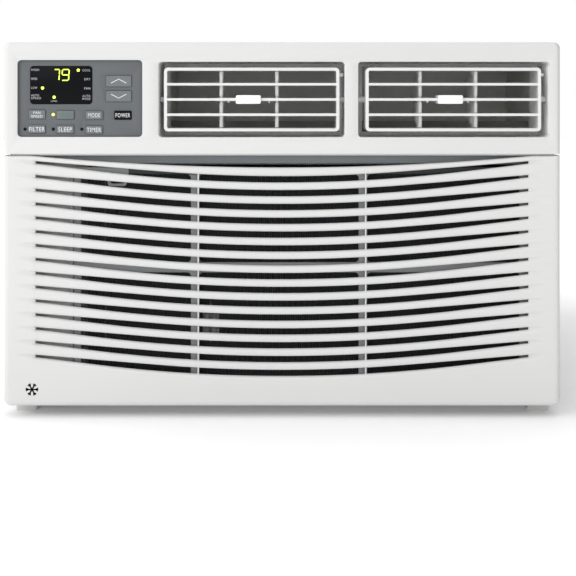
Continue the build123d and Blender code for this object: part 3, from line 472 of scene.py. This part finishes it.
def repeated(name, unit, count, step, material):
    """The mesh of a small shape repeated by the tree above."""
    thing = scratch(name, unit)
    modifier = thing.modifiers.new("rows", "NODES")
    modifier.node_group = ROWS
    values = {"Count": count, "Step": step, "Material": material}
    for item in ROWS.interface.items_tree:
        if item.in_out == "INPUT" and item.name in values:
            modifier[item.identifier] = values[item.name]
    mesh = settle(thing)
    bpy.data.objects.remove(thing)
    return mesh


def join_meshes(name, meshes):
    bm = bmesh.new()
    for mesh in meshes:
        bm.from_mesh(mesh)
    whole = bpy.data.meshes.new(name)
    bm.to_mesh(whole)
    bm.free()
    return whole


# ---------------------------------------------------------------- intake grille
SLOTS = 15
SLOT_PITCH = 13.87 * MM
SLOT_TOP = 241.5 * MM
SLOT_H = 6.2 * MM
SLOT_END = 247.0 * MM
TAIL_END = 267.0 * MM
COVER_T = 2.0 * MM
EDGE_R = 5.5 * MM
CORNER_R = 7.0 * MM
LIP_DEPTH = 2.6 * MM
RIB_X = 84 * MM
HINGE_AXIS = (FRONT + 14.5 * MM, 18 * MM)     # y and z
PIN_R = 3 * MM


def bow(x, z, sag, straight, tail):
    """Height of an edge that bows down in the middle and runs straight to its ends."""
    x = abs(x)
    rise = sag * straight / (2 * SLOT_END - straight)
    if x <= straight:
        return z + rise * (x / straight) ** 2
    slope = (sag - rise) / (SLOT_END - straight)
    return z + rise + slope * (min(x, SLOT_END) - straight) + tail * max(0.0, x - SLOT_END)


def slot_edges(k, x):
    """Upper and lower edge of slot k; past the slot's end they close on a fading groove."""
    top = SLOT_TOP - k * SLOT_PITCH
    upper = bow(x, top, 15.1 * MM, 126 * MM, 0.05)
    lower = bow(x, top - SLOT_H, 18.9 * MM, 185 * MM, 0.05)
    past = min(1.0, max(0.0, (abs(x) - SLOT_END) / (TAIL_END - SLOT_END)))
    return upper, lower + (upper - lower) * past * 0.55


def top_edge(x):
    """The cover's top edge, hollowed in the middle for the fingers."""
    flat = 252 * MM
    drop = 11.9 * MM
    return GRILLE_TOP - 1.2 * MM - drop * (1 - (min(abs(x), flat) / flat) ** 2)


def crown(s):
    """How far a slat's face stands back at s, from 0 at its upper lip to 1 at its lower lip."""
    edge = min(s, 1 - s) / 0.30
    lip = 1 - sqrt(max(0.0, 1 - (1 - edge) ** 2)) if edge < 1 else 0.0
    return LIP_DEPTH * lip + 0.5 * MM * (2 * s - 1) ** 2


def lip_strength(x):
    """1 beside the open slots, fading to nothing where the groove's tail ends."""
    if abs(x) <= SLOT_END:
        return 1.0
    past = (abs(x) - SLOT_END) / (TAIL_END - SLOT_END)
    return max(0.0, 0.62 * (1 - past))


def cover_columns():
    inner = HALF_W - CORNER_R
    half = [i * 9 * MM for i in range(27)] + [SLOT_END, SLOT_END + 0.6 * MM]
    half += [SLOT_END + 4 * MM * k for k in range(1, 6)] + [inner]
    return [-x for x in reversed(half[1:])] + half


LIP_STEPS = (0.0, 0.06, 0.14, 0.23, 0.36, 0.5, 0.64, 0.77, 0.86, 0.94, 1.0)


def cover_rows(x):
    """Heights and setbacks of the cover's rows at x, top to bottom, with the index of each slot's gap."""
    strength = lip_strength(x)
    bounds = [(top_edge(x), slot_edges(0, x)[0])]
    bounds += [(slot_edges(k, x)[1], slot_edges(k + 1, x)[0]) for k in range(SLOTS - 1)]
    low = GRILLE_LOW + CORNER_R
    last = slot_edges(SLOTS - 1, x)[1]
    rows, gaps = [], []
    for number, (upper, lower) in enumerate(bounds):
        for s in LIP_STEPS:
            weight = strength
            if number == 0 and s < 0.5:
                weight = 1.0
            rows.append((upper + (lower - upper) * s, crown(s) * weight))
        gaps.append(len(rows) - 1)
    for s in (0.0, 0.06, 0.14, 0.23, 0.36, 0.5):
        rows.append((last - s * 2 * 4.5 * MM, crown(s) * strength if s < 0.5 else 0.0))
    for t in (0.3, 0.6, 1.0):
        start = last - 4.5 * MM
        rows.append((start + (low - start) * t, 0.0))
    return rows, gaps


def grille_cover():
    """One moulded sheet: crowned slats, grooves that fade past the slots, and a rim with side walls."""
    columns = cover_columns()
    verts, faces = [], []
    grid = []
    for x in columns:
        rows, gaps = cover_rows(x)
        grid.append([len(verts) + i for i in range(len(rows))])
        verts += [(x, FRONT + back, z) for z, back in rows]
    last = len(grid[0]) - 1
    for i in range(len(columns) - 1):
        middle = (columns[i] + columns[i + 1]) / 2
        for j in range(last):
            if j in gaps and abs(middle) < SLOT_END:
                continue
            faces.append((grid[i][j], grid[i][j + 1], grid[i + 1][j + 1], grid[i + 1][j]))

    # rim: down the left side, round both lower corners and up the right side
    inner, low = HALF_W - CORNER_R, GRILLE_LOW + CORNER_R
    path = [((-1, 0), (-inner, verts[v][2])) for v in grid[0]]
    path += [((-cos(t * pi / 12), -sin(t * pi / 12)), (-inner, low)) for t in range(1, 6)]
    path += [((0, -1), (x, low)) for x in columns]
    path += [((cos(t * pi / 12), -sin(t * pi / 12)), (inner, low)) for t in range(5, 0, -1)]
    path += [((1, 0), (inner, verts[v][2])) for v in reversed(grid[-1])]
    start = grid[0] + [grid[0][last]] * 5 + [column[last] for column in grid]
    start += [grid[-1][last]] * 5 + list(reversed(grid[-1]))
    profile = [(CORNER_R - EDGE_R, 0.0)]
    for k in range(1, 7):
        a = k * pi / 12
        profile.append((CORNER_R - EDGE_R + EDGE_R * sin(a), EDGE_R * (1 - cos(a))))
    profile += [(CORNER_R, 12 * MM), (CORNER_R, GRILLE_BACK - FRONT)]
    before = start
    for out, back in profile:
        loop = []
        for (nx, nz), (x, z) in path:
            reach = out
            y = FRONT + back
            if nz < -0.3 and back > 7 * MM:
                y = FRONT + min(back, 7.5 * MM)
            loop.append(len(verts))
            verts.append((x + nx * reach, y, z + nz * reach))
        for a in range(len(loop) - 1):
            quad = [before[a], loop[a], loop[a + 1], before[a + 1]]
            corners = list(dict.fromkeys(quad))
            if len(corners) > 2:
                faces.append(tuple(corners))
        before = loop
    mesh = mesh_of("grille_cover", verts, faces)
    bm = bmesh.new()
    bm.from_mesh(mesh)
    bmesh.ops.remove_doubles(bm, verts=bm.verts, dist=1e-6)
    bmesh.ops.recalc_face_normals(bm, faces=bm.faces)
    middle = min(bm.faces, key=lambda f: (f.calc_center_median() - Vector((0, FRONT, 0.02))).length)
    if middle.normal.y > 0:
        bmesh.ops.reverse_faces(bm, faces=bm.faces)
    bm.to_mesh(mesh)
    bm.free()
    wall = {"thickness": COVER_T, "offset": -1.0, "use_even_offset": True, "thickness_clamp": 0.6}
    mesh = finished(scratch("grille_cover", mesh), [("SOLIDIFY", wall)], 50.0)
    return link_piece("grille_cover", mesh, GRILLE_WHITE, "grille", "intake_grille")


def filter_rails():
    """Channels in which the filter slides, behind the slats; they take the filter's grey as painted shade."""
    x0, x1, y0, y1, z0, z1 = span("filter_frame")
    low, high, outer = z0 - 2 * MM, z1 - 5 * MM, 4.4 * MM
    boxes = []
    for side, x in ((-1, x0), (1, x1)):
        wall = sorted((x + side * 0.6 * MM, x + side * outer))
        back = sorted((x - side * 3 * MM, x + side * outer))
        boxes.append((*wall, y0 - MM, y1 + 3 * MM, low, high))
        boxes.append((*back, y1 + 1.2 * MM, y1 + 3 * MM, low, high))
    mesh = boxes_mesh("filter_rails", boxes)
    # Painted shade: the rails are grille plastic, given the filter's dark grey because they lie in shade
    # behind the slats.
    return link_piece("filter_rails", mesh, FILTER_GREY, "grille")


def grille_ribs():
    """Upright ribs behind the slats, and the two hinge pins."""
    _, _, y0, _, z0, z1 = span("filter_frame")
    bm = bmesh.new()
    for x in (-RIB_X, RIB_X):
        add_box(bm, x - 0.7 * MM, x + 0.7 * MM, FRONT + 2.2 * MM, y0 - 0.2 * MM, z0 - 8 * MM, z1 - 0.5 * MM)
    mesh = bpy.data.meshes.new("grille_ribs")
    bm.to_mesh(mesh)
    bm.free()
    pins = bmesh.new()
    for side in (-1, 1):
        place = Matrix.Translation((side * (HALF_W - 12.5 * MM), *HINGE_AXIS))
        place @= Matrix.Rotation(pi / 2, 4, "Y")
        bmesh.ops.create_cone(pins, cap_ends=True, segments=32, radius1=PIN_R, radius2=PIN_R, depth=20.4 * MM,
                              matrix=place)
    pin_mesh = bpy.data.meshes.new("grille_pins")
    pins.to_mesh(pin_mesh)
    pins.free()
    bevel = {"width": 0.3 * MM, "segments": 2, "limit_method": "ANGLE"}
    mesh = finished(scratch("grille_ribs", join_meshes("grille_ribs", [mesh, pin_mesh])), [("BEVEL", bevel)])
    return link_piece("grille_ribs", mesh, GRILLE_WHITE, "grille")


def filter_net():
    """Woven net of the air filter: strands across and strands down."""
    x0, x1, y0, _, z0, z1 = span("filter_mesh")
    pitch, thick = 1.4 * MM, 0.42 * MM
    meshes = []
    for tall in (True, False):
        bm = bmesh.new()
        if tall:
            add_box(bm, x0 + 0.4 * MM, x0 + 0.4 * MM + thick, y0 + 0.05 * MM, y0 + 0.05 * MM + thick, z0, z1)
            count, step = int((x1 - x0 - MM) / pitch), (pitch, 0.0, 0.0)
        else:
            add_box(bm, x0, x1, y0 + 0.25 * MM, y0 + 0.25 * MM + thick, z0 + 0.4 * MM, z0 + 0.4 * MM + thick)
            count, step = int((z1 - z0 - MM) / pitch), (0.0, 0.0, pitch)
        strand = bpy.data.meshes.new("net_strand")
        bm.to_mesh(strand)
        bm.free()
        meshes.append(repeated("net_strands", strand, count, step, FILTER_NET))
    return link_piece("filter_net", join_meshes("filter_net", meshes), FILTER_NET, "grille", "filter_mesh")


# ---------------------------------------------------------------- coils
def coil_fins(node, name, material, pitch):
    """Thin corrugated fins with thicker end plates."""
    x0, x1, y0, y1, z0, z1 = span(node)
    thick, wave, folds = 0.22 * MM, 0.25 * MM, 8
    verts, faces = [], []
    for side in (0, 1):
        for k in range(folds + 1):
            y = y0 + (y1 - y0) * k / folds
            x = x0 + 0.3 * MM + side * thick + (wave if k % 2 else 0.0)
            verts += [(x, y, z0), (x, y, z1)]
    n = 2 * (folds + 1)
    for k in range(folds):
        a = 2 * k
        faces += [(a, a + 2, a + 3, a + 1), (n + a, n + a + 1, n + a + 3, n + a + 2)]
        faces += [(a, n + a, n + a + 2, a + 2), (a + 1, a + 3, n + a + 3, n + a + 1)]
    faces += [(0, 1, n + 1, n), (n - 2, 2 * n - 2, 2 * n - 1, n - 1)]
    unit = mesh_of("fin", verts, faces)
    bm = bmesh.new()
    bm.from_mesh(unit)
    bmesh.ops.recalc_face_normals(bm, faces=bm.faces)
    bm.to_mesh(unit)
    bm.free()
    count = int((x1 - x0 - 1.2 * MM) / pitch) + 1
    fins = repeated(name, unit, count, (pitch, 0.0, 0.0), material)
    ends = bmesh.new()
    for a, b in ((x0, x0 + 0.7 * MM), (x1 - 0.7 * MM, x1)):
        add_box(ends, a, b, y0, y1, z0, z1)
    plates = bpy.data.meshes.new("end_plates")
    ends.to_mesh(plates)
    ends.free()
    return link_piece(name, join_meshes(name, [fins, plates]), material, "chassis", node)


def duct_ramp():
    """Curved ramp that leads the air from the mouth of the blower over the floor of the outlets."""
    x0, x1, _, _, z0, _ = span("discharge_duct")
    back, front, top = span("blower_housing")[2] - MM, span("vane_left_1")[3] + 5.5 * MM, 295 * MM
    low, steps = z0 + 2.6 * MM, 10
    verts, faces = [], []
    for x in (x0 + 2.6 * MM, x1 - 2.6 * MM):
        for k in range(steps + 1):
            a = k / steps * pi / 2
            verts.append((x, front + (back - front) * sin(a), low + (top - low) * (1 - cos(a))))
        verts.append((x, back, low))
    n = steps + 2
    for k in range(n):
        faces.append((k, (k + 1) % n, n + (k + 1) % n, n + k))
    faces += [tuple(range(n)), tuple(reversed(range(n, 2 * n)))]
    bm = bmesh.new()
    bm.from_mesh(mesh_of("duct_ramp", verts, faces))
    bmesh.ops.recalc_face_normals(bm, faces=bm.faces)
    mesh = bpy.data.meshes.new("duct_ramp")
    bm.to_mesh(mesh)
    bm.free()
    mesh.polygons.foreach_set("use_smooth", [True] * len(mesh.polygons))
    mesh.set_sharp_from_angle(angle=radians(40))
    return link_piece("duct_ramp", mesh, RAMP_GREY, "chassis")


OUTLET_SIDES = ((-123.6 * MM, 62.8 * MM), (76.3 * MM, 267.7 * MM))
OUTLET_FLOOR, OUTLET_TOP = 280.6 * MM, 356.4 * MM
TRIM_SIDES = ((4.1 * MM, 3.3 * MM), (7.2 * MM, 4.7 * MM))


def outlet_trims():
    """Thin liners round the back of both outlets, just behind the sweep of the louver frames."""
    y0, y1 = FRONT + 47.1 * MM, FRONT + 49.3 * MM
    low, high = OUTLET_FLOOR + 4 * MM, OUTLET_TOP - 3.7 * MM
    flat, upright = [], []
    for (x0, x1), (left, right) in zip(OUTLET_SIDES, TRIM_SIDES):
        flat += [(x0, x1, y0, y1, high, OUTLET_TOP), (x0, x1, y0, y1, OUTLET_FLOOR, low)]
        for a, b in ((x0, x0 + left), (x1 - right, x1)):
            upright.append((a, b, y0, y1, low - 0.6 * MM, high + 0.3 * MM))
    boxes = flat + upright
    link_piece("outlet_trims", boxes_mesh("outlet_trims", boxes), TRIM_GREY, "chassis")


def recess_lip():
    """White lip of the front frame that shows over the top of the grille."""
    half = HALF_W - 7 * MM
    boxes = [(-half, half, FRONT + 3.7 * MM, FRONT + 5.8 * MM, LIP_Z - 1.6 * MM, LIP_Z - 0.25 * MM)]
    link_piece("recess_lip", boxes_mesh("recess_lip", boxes), GRILLE_WHITE, "chassis")


# ---------------------------------------------------------------- cabinet vents
VENT_COLUMNS = (-34 * MM, 62 * MM)
VENT_LOW = 120 * MM
VENT_PITCH = 20 * MM
VENT_ROWS = 9


def vent_hoods():
    """Pressed hoods over the slots in both sides of the cabinet."""
    x1 = span("cabinet")[1]
    length, height, reach = 80 * MM, 7.0 * MM, 2.8 * MM
    across, down = 16, 6
    bottom = VENT_LOW - 0.6 * MM
    meshes = []
    for side in (-1, 1):
        for y0 in VENT_COLUMNS:
            verts, faces = [], []
            for i in range(across + 1):
                u = i / across
                taper = sqrt(max(0.0, 1 - abs(2 * u - 1) ** 6))
                for j in range(down + 1):
                    v = j / down
                    out = reach * taper * sin(v * pi / 2)
                    z = bottom + height * (1 - v * 0.94)
                    verts.append((side * (x1 + out - 0.1 * MM), y0 + length * u, z))
            for i in range(across):
                for j in range(down):
                    a = i * (down + 1) + j
                    faces.append((a, a + 1, a + down + 2, a + down + 1))
            unit = mesh_of("hood", verts, faces)
            if side < 0:
                unit.flip_normals()
            wall = {"thickness": 0.5 * MM, "offset": -1.0}
            unit = finished(scratch("hood", unit), [("SOLIDIFY", wall)], 60.0)
            meshes.append(repeated("hoods", unit, VENT_ROWS, (0.0, 0.0, VENT_PITCH), CABINET_PAINT))
    mesh = join_meshes("vent_hoods", meshes)
    mesh.polygons.foreach_set("use_smooth", [True] * len(mesh.polygons))
    mesh.set_sharp_from_angle(angle=radians(50))
    return link_piece("vent_hoods", mesh, CABINET_PAINT, "chassis")


# ---------------------------------------------------------------- control panel
LENS_FACE = span("display_window")[2]
INK_DEPTH = 0.12 * MM
LAMP_DEPTH = 0.15 * MM


def words(text, x, z, width, height, y, align=0.5):
    """Printed capitals as a thin mesh facing the room; align 0 starts at x, 0.5 centres, 1 ends there."""
    curve = bpy.data.curves.new("words", "FONT")
    curve.body = text
    curve.size = 1.0
    curve.space_character = 1.15
    curve.offset = 0.008
    curve.extrude = 0.5
    curve.resolution_u = 3
    thing = scratch("words", curve)
    mesh = settle(thing)
    bpy.data.objects.remove(thing)
    xs = [v.co.x for v in mesh.vertices]
    ys = [v.co.y for v in mesh.vertices]
    mesh.transform(Matrix.Translation((-min(xs), -(min(ys) + max(ys)) / 2, 0.0)))
    size = (width / (max(xs) - min(xs)), height / (max(ys) - min(ys)), INK_DEPTH, 1.0)
    place = Matrix.Translation((x - align * width, y - INK_DEPTH / 2, z))
    mesh.transform(place @ Matrix.Rotation(pi / 2, 4, "X") @ Matrix.Diagonal(size))
    return mesh


def stroke(points, width, y):
    """A printed line through points given as (x, z)."""
    verts, faces = [], []
    for i, (x, z) in enumerate(points):
        before = Vector(points[max(0, i - 1)])
        after = Vector(points[min(len(points) - 1, i + 1)])
        along = (after - before).normalized()
        nx, nz = -along.y * width / 2, along.x * width / 2
        verts += [(x + nx, y - INK_DEPTH, z + nz), (x - nx, y - INK_DEPTH, z - nz)]
        verts += [(x + nx, y, z + nz), (x - nx, y, z - nz)]
    for i in range(len(points) - 1):
        a, b = 4 * i, 4 * i + 4
        faces += [(a, a + 1, b + 1, b), (a + 2, b + 2, b + 3, a + 3)]
        faces += [(a, b, b + 2, a + 2), (a + 1, a + 3, b + 3, b + 1)]
    end = 4 * (len(points) - 1)
    faces += [(0, 2, 3, 1), (end, end + 1, end + 3, end + 2)]
    return mesh_of("stroke", verts, faces)


def disc(x, z, radius, y):
    bm = bmesh.new()
    place = Matrix.Translation((x, y - LAMP_DEPTH / 2, z)) @ Matrix.Rotation(pi / 2, 4, "X")
    bmesh.ops.create_cone(bm, cap_ends=True, segments=28, radius1=radius, radius2=radius, depth=LAMP_DEPTH,
                          matrix=place)
    mesh = bpy.data.meshes.new("disc")
    bm.to_mesh(mesh)
    bm.free()
    return mesh


SEGMENTS = {"7": "abc", "9": "abcdfg"}
LAMP_PLACES = ((49.4, 0.4), (13.6, 18.3), (25.2, 27.5))      # mm from the lens's left, and below its top row
LEFT_LEGENDS = (("HIGH", 0.0), ("MED", 9.0), ("LOW", 18.0), ("AUTO", 25.6), ("SPEED", 28.4))
RIGHT_LEGENDS = (("COOL", 0.5), ("DRY", 9.4), ("FAN", 18.6), ("AUTO", 26.3), ("MODE", 29.1))


def seven_segment(digit, x0, z0, width, height, y):
    """The lit bars of one digit."""
    t, gap = 1.05 * MM, 0.45 * MM
    x1, z1, zm = x0 + width, z0 + height, z0 + height / 2
    bars = {
        "a": [(x0 + gap, z1), (x1 - gap, z1)], "b": [(x1, z1 - gap), (x1, zm + gap)],
        "c": [(x1, zm - gap), (x1, z0 + gap)], "d": [(x0 + gap, z0), (x1 - gap, z0)],
        "f": [(x0, z1 - gap), (x0, zm + gap)], "g": [(x0 + gap, zm), (x1 - gap, zm)],
    }
    lean = 0.07
    return [stroke([(x + lean * (z - zm), z) for x, z in bars[s]], t, y) for s in SEGMENTS[digit]]


def display():
    """Lit digits and lamps behind the lens, and the small legends beside them."""
    y = LENS_FACE
    x0, x1, _, _, _, z1 = span("display_window")
    left, right = x0 + 2.2 * MM, x1 - 3.0 * MM
    top = z1 - 4.9 * MM
    digits = seven_segment("7", x0 + 25.0 * MM, z1 - 15.5 * MM, 5.4 * MM, 10.9 * MM, y)
    digits += seven_segment("9", x0 + 33.2 * MM, z1 - 15.5 * MM, 6.8 * MM, 10.9 * MM, y)
    link_piece("display_digits", join_meshes("display_digits", digits), SEGMENT_LIT, "chassis")
    lamps = [disc(x0 + dx * MM, top - drop * MM, 1.5 * MM, y) for dx, drop in LAMP_PLACES]
    link_piece("display_lamps", join_meshes("display_lamps", lamps), LAMP_LIT, "chassis")
    legends = []
    for x, align, column in ((left, 0.0, LEFT_LEGENDS), (right, 1.0, RIGHT_LEGENDS)):
        for text, drop in column:
            width = (0.3 + 1.9 * len(text)) * MM
            legends.append(words(text, x, top - drop * MM, width, 2.2 * MM, y, align=align))
    legends.append(words("LINK", x0 + 25.2 * MM, top - 31.3 * MM, 6.4 * MM, 1.7 * MM, y))
    link_piece("display_legends", join_meshes("display_legends", legends), LEGEND_DIM, "chassis")


KEY_WORDS = {
    "button_mode": [("MODE", 12.0)], "button_power": [("POWER", 14.6)], "button_eco": [("ECO", 9.0)],
    "button_fan_speed": [("FAN", 7.0), ("SPEED", 11.4)], "button_filter": [("FILTER", 15.8)],
    "button_sleep": [("SLEEP", 13.6)], "button_timer": [("TIMER", 14.4)],
}


def key_legends():
    """Printed words and arrows; each moves with its own key."""
    for node, lines in KEY_WORDS.items():
        x0, x1, y, _, z0, z1 = span(node)
        x, z = (x0 + x1) / 2, (z0 + z1) / 2
        height = (2.5 if len(lines) > 1 else 4.2) * MM
        meshes = [words(text, x, z + (len(lines) / 2 - 0.5 - i) * 3.7 * MM, width * MM, height, y)
                  for i, (text, width) in enumerate(lines)]
        material = LEGEND_GREEN if node == "button_eco" else LEGEND_WHITE
        legend = join_meshes(node + "_legend", meshes)
        link_piece(node + "_legend", legend, material, BODY_OF[node])
    for node, way in (("button_up", 1), ("button_down", -1)):
        x0, x1, y, _, z0, z1 = span(node)
        x, z = (x0 + x1) / 2, (z0 + z1) / 2
        wide, tall = 7.7 * MM, way * 2.0 * MM
        arrow = [(x - wide, z - tall), (x, z + tall), (x + wide, z - tall)]
        link_piece(node + "_arrow", stroke(arrow, 0.75 * MM, y), LEGEND_WHITE, BODY_OF[node])


def lit_indicator():
    """The indicator beside the economy key is lit."""
    x = span("button_eco")[0] - 2.8 * MM
    z = span("indicator_leds")[5] - 1.6 * MM
    mesh = disc(x, z, 1.5 * MM, span("indicator_leds")[2])
    link_piece("lit_indicator", mesh, LAMP_LIT, "chassis")


# ---------------------------------------------------------------- make every piece
grille_cover()
grille_ribs()
filter_rails()
filter_net()
duct_ramp()
outlet_trims()
recess_lip()
coil_fins("evaporator_fins", "evaporator_fin_pack", EVAPORATOR_BLUE, 1.9 * MM)
coil_fins("condenser_fins", "condenser_fin_pack", CONDENSER_FIN, 2.1 * MM)
vent_hoods()
display()
key_legends()
lit_indicator()
softened("front_frame", 0.5 * MM)
for part in ("louver_frame_left", "louver_frame_right", "vane_left_1", "vane_left_2", "vane_right_1",
             "vane_right_2", "vane_link_left", "vane_link_right"):
    softened(part, 0.4 * MM)
for part in ("filter_frame", "feet", "display_window"):
    softened(part, 0.5 * MM)
for part in ["control_fascia"] + [node for node in NODES if node.startswith("button_")]:
    softened(part, 0.3 * MM)


# ---------------------------------------------------------------- floor, light and camera
def studio():
    """Pale floor with painted light that grows away from the unit, leaving painted shade beside it; white
    surroundings, and three soft lamps.
    """
    floor_material, tree, shader = new_material("studio_floor")
    texture = place_group(tree, GRAIN, Grain_Scale=40.0, Drift_Scale=1.5)
    tone = stretch_value(tree, texture.outputs["Tone"], 0.0, 1.0)
    pale = blend_colour(tree, tone, (0.90, 0.90, 0.90), (0.93, 0.93, 0.93))
    tree.links.new(pale, shader.inputs["Base Color"])
    shader.inputs["Roughness"].default_value = 0.9
    shader.inputs["Specular IOR Level"].default_value = 0.1
    shader.inputs["Emission Color"].default_value = (1.0, 1.0, 1.0, 1.0)
    place = tree.nodes.new("ShaderNodeSeparateXYZ")
    tree.links.new(tree.nodes.new("ShaderNodeTexCoord").outputs["Object"], place.inputs[0])
    across = maths(tree, "POWER", maths(tree, "MULTIPLY", place.outputs["X"], 0.5), 2.0)
    away = maths(tree, "SQRT", maths(tree, "ADD", across, maths(tree, "POWER", place.outputs["Y"], 2.0)))
    # Painted light on the floor: emission that is weak beside the unit and grows with distance from it.
    glow = tree.nodes.new("ShaderNodeMapRange")
    for label, value in zip(("From Min", "From Max", "To Min", "To Max"), (*PAINTED_LIGHT_REACH, *FLOOR_PAINTED_LIGHT)):
        glow.inputs[label].default_value = value
    tree.links.new(away, glow.inputs["Value"])
    tree.links.new(glow.outputs["Result"], shader.inputs["Emission Strength"])
    size = 6.0
    corners = [(-size, -size, 0), (size, -size, 0), (size, size, 0), (-size, size, 0)]
    mesh = mesh_of("floor", corners, [(0, 1, 2, 3)])
    mesh.materials.append(floor_material)
    floor = scratch("floor", mesh)
    world = bpy.data.worlds.new("studio")
    world.use_nodes = True
    tree = world.node_tree
    way = tree.nodes.new("ShaderNodeSeparateXYZ")
    tree.links.new(tree.nodes.new("ShaderNodeTexCoord").outputs["Object"], way.inputs[0])
    fade = tree.nodes.new("ShaderNodeMapRange")
    for label, value in zip(("From Min", "From Max", "To Min", "To Max"), (*WORLD_FADE, *WORLD_LIGHT)):
        fade.inputs[label].default_value = value
    tree.links.new(way.outputs["X"], fade.inputs["Value"])
    seen = tree.nodes.new("ShaderNodeLightPath").outputs["Is Camera Ray"]
    strength = maths(tree, "MAXIMUM", fade.outputs["Result"], seen)
    tree.links.new(strength, tree.nodes["Background"].inputs["Strength"])
    tree.nodes["Background"].inputs["Color"].default_value = (1.0, 1.0, 1.0, 1.0)
    bpy.context.scene.world = world
    bpy.context.scene.view_settings.view_transform = "Standard"
    for name, place, size, power in LAMPS:
        light = bpy.data.lights.new(name, "AREA")
        light.shape = "RECTANGLE"
        light.size, light.size_y = size
        light.energy = power
        thing = bpy.data.objects.new(name, light)
        bpy.context.scene.collection.objects.link(thing)
        thing.location = place
        aim = Vector((0.0, -0.1, 0.2)) - Vector(place)
        thing.rotation_euler = aim.to_track_quat("-Z", "Y").to_euler()


WORLD_LIGHT = (1.0, 0.15)     # over most of the surroundings, and at their far right
WORLD_FADE = (0.3, 0.75)      # how far right the light starts to fade, and where it has faded
# Floor emission as painted light: weak beside the unit, which leaves painted shade round it, and strong away
# from it.
FLOOR_PAINTED_LIGHT = (0.07, 0.30)     # beside the unit, and away from it
PAINTED_LIGHT_REACH = (0.28, 0.50)
LAMPS = (
    ("key_left", (-1.7, -1.5, 1.3), (1.0, 1.0), 13.0),
    ("top", (-0.3, -0.2, 2.2), (1.6, 1.6), 7.0),
    ("front", (-0.9, -3.0, 1.1), (1.4, 0.9), 10.0),
)
CAMERA_BACK = 0.95
CAMERA_Z = 0.320
VIEW_CENTRE = (0.006, 0.130)
VIEW_WIDTH = 0.576


def camera():
    """Level camera in front of the unit, shifted down so that its uprights stay parallel."""
    lens = bpy.data.cameras.new("camera")
    lens.sensor_width = 36.0
    lens.lens = 36.0 * CAMERA_BACK / VIEW_WIDTH
    lens.shift_y = (VIEW_CENTRE[1] - CAMERA_Z) / VIEW_WIDTH
    lens.clip_end = 50.0
    thing = bpy.data.objects.new("camera", lens)
    bpy.context.scene.collection.objects.link(thing)
    thing.location = (VIEW_CENTRE[0], FRONT - CAMERA_BACK, CAMERA_Z)
    thing.rotation_euler = (pi / 2, 0.0, 0.0)
    bpy.context.scene.camera = thing


studio()
camera()
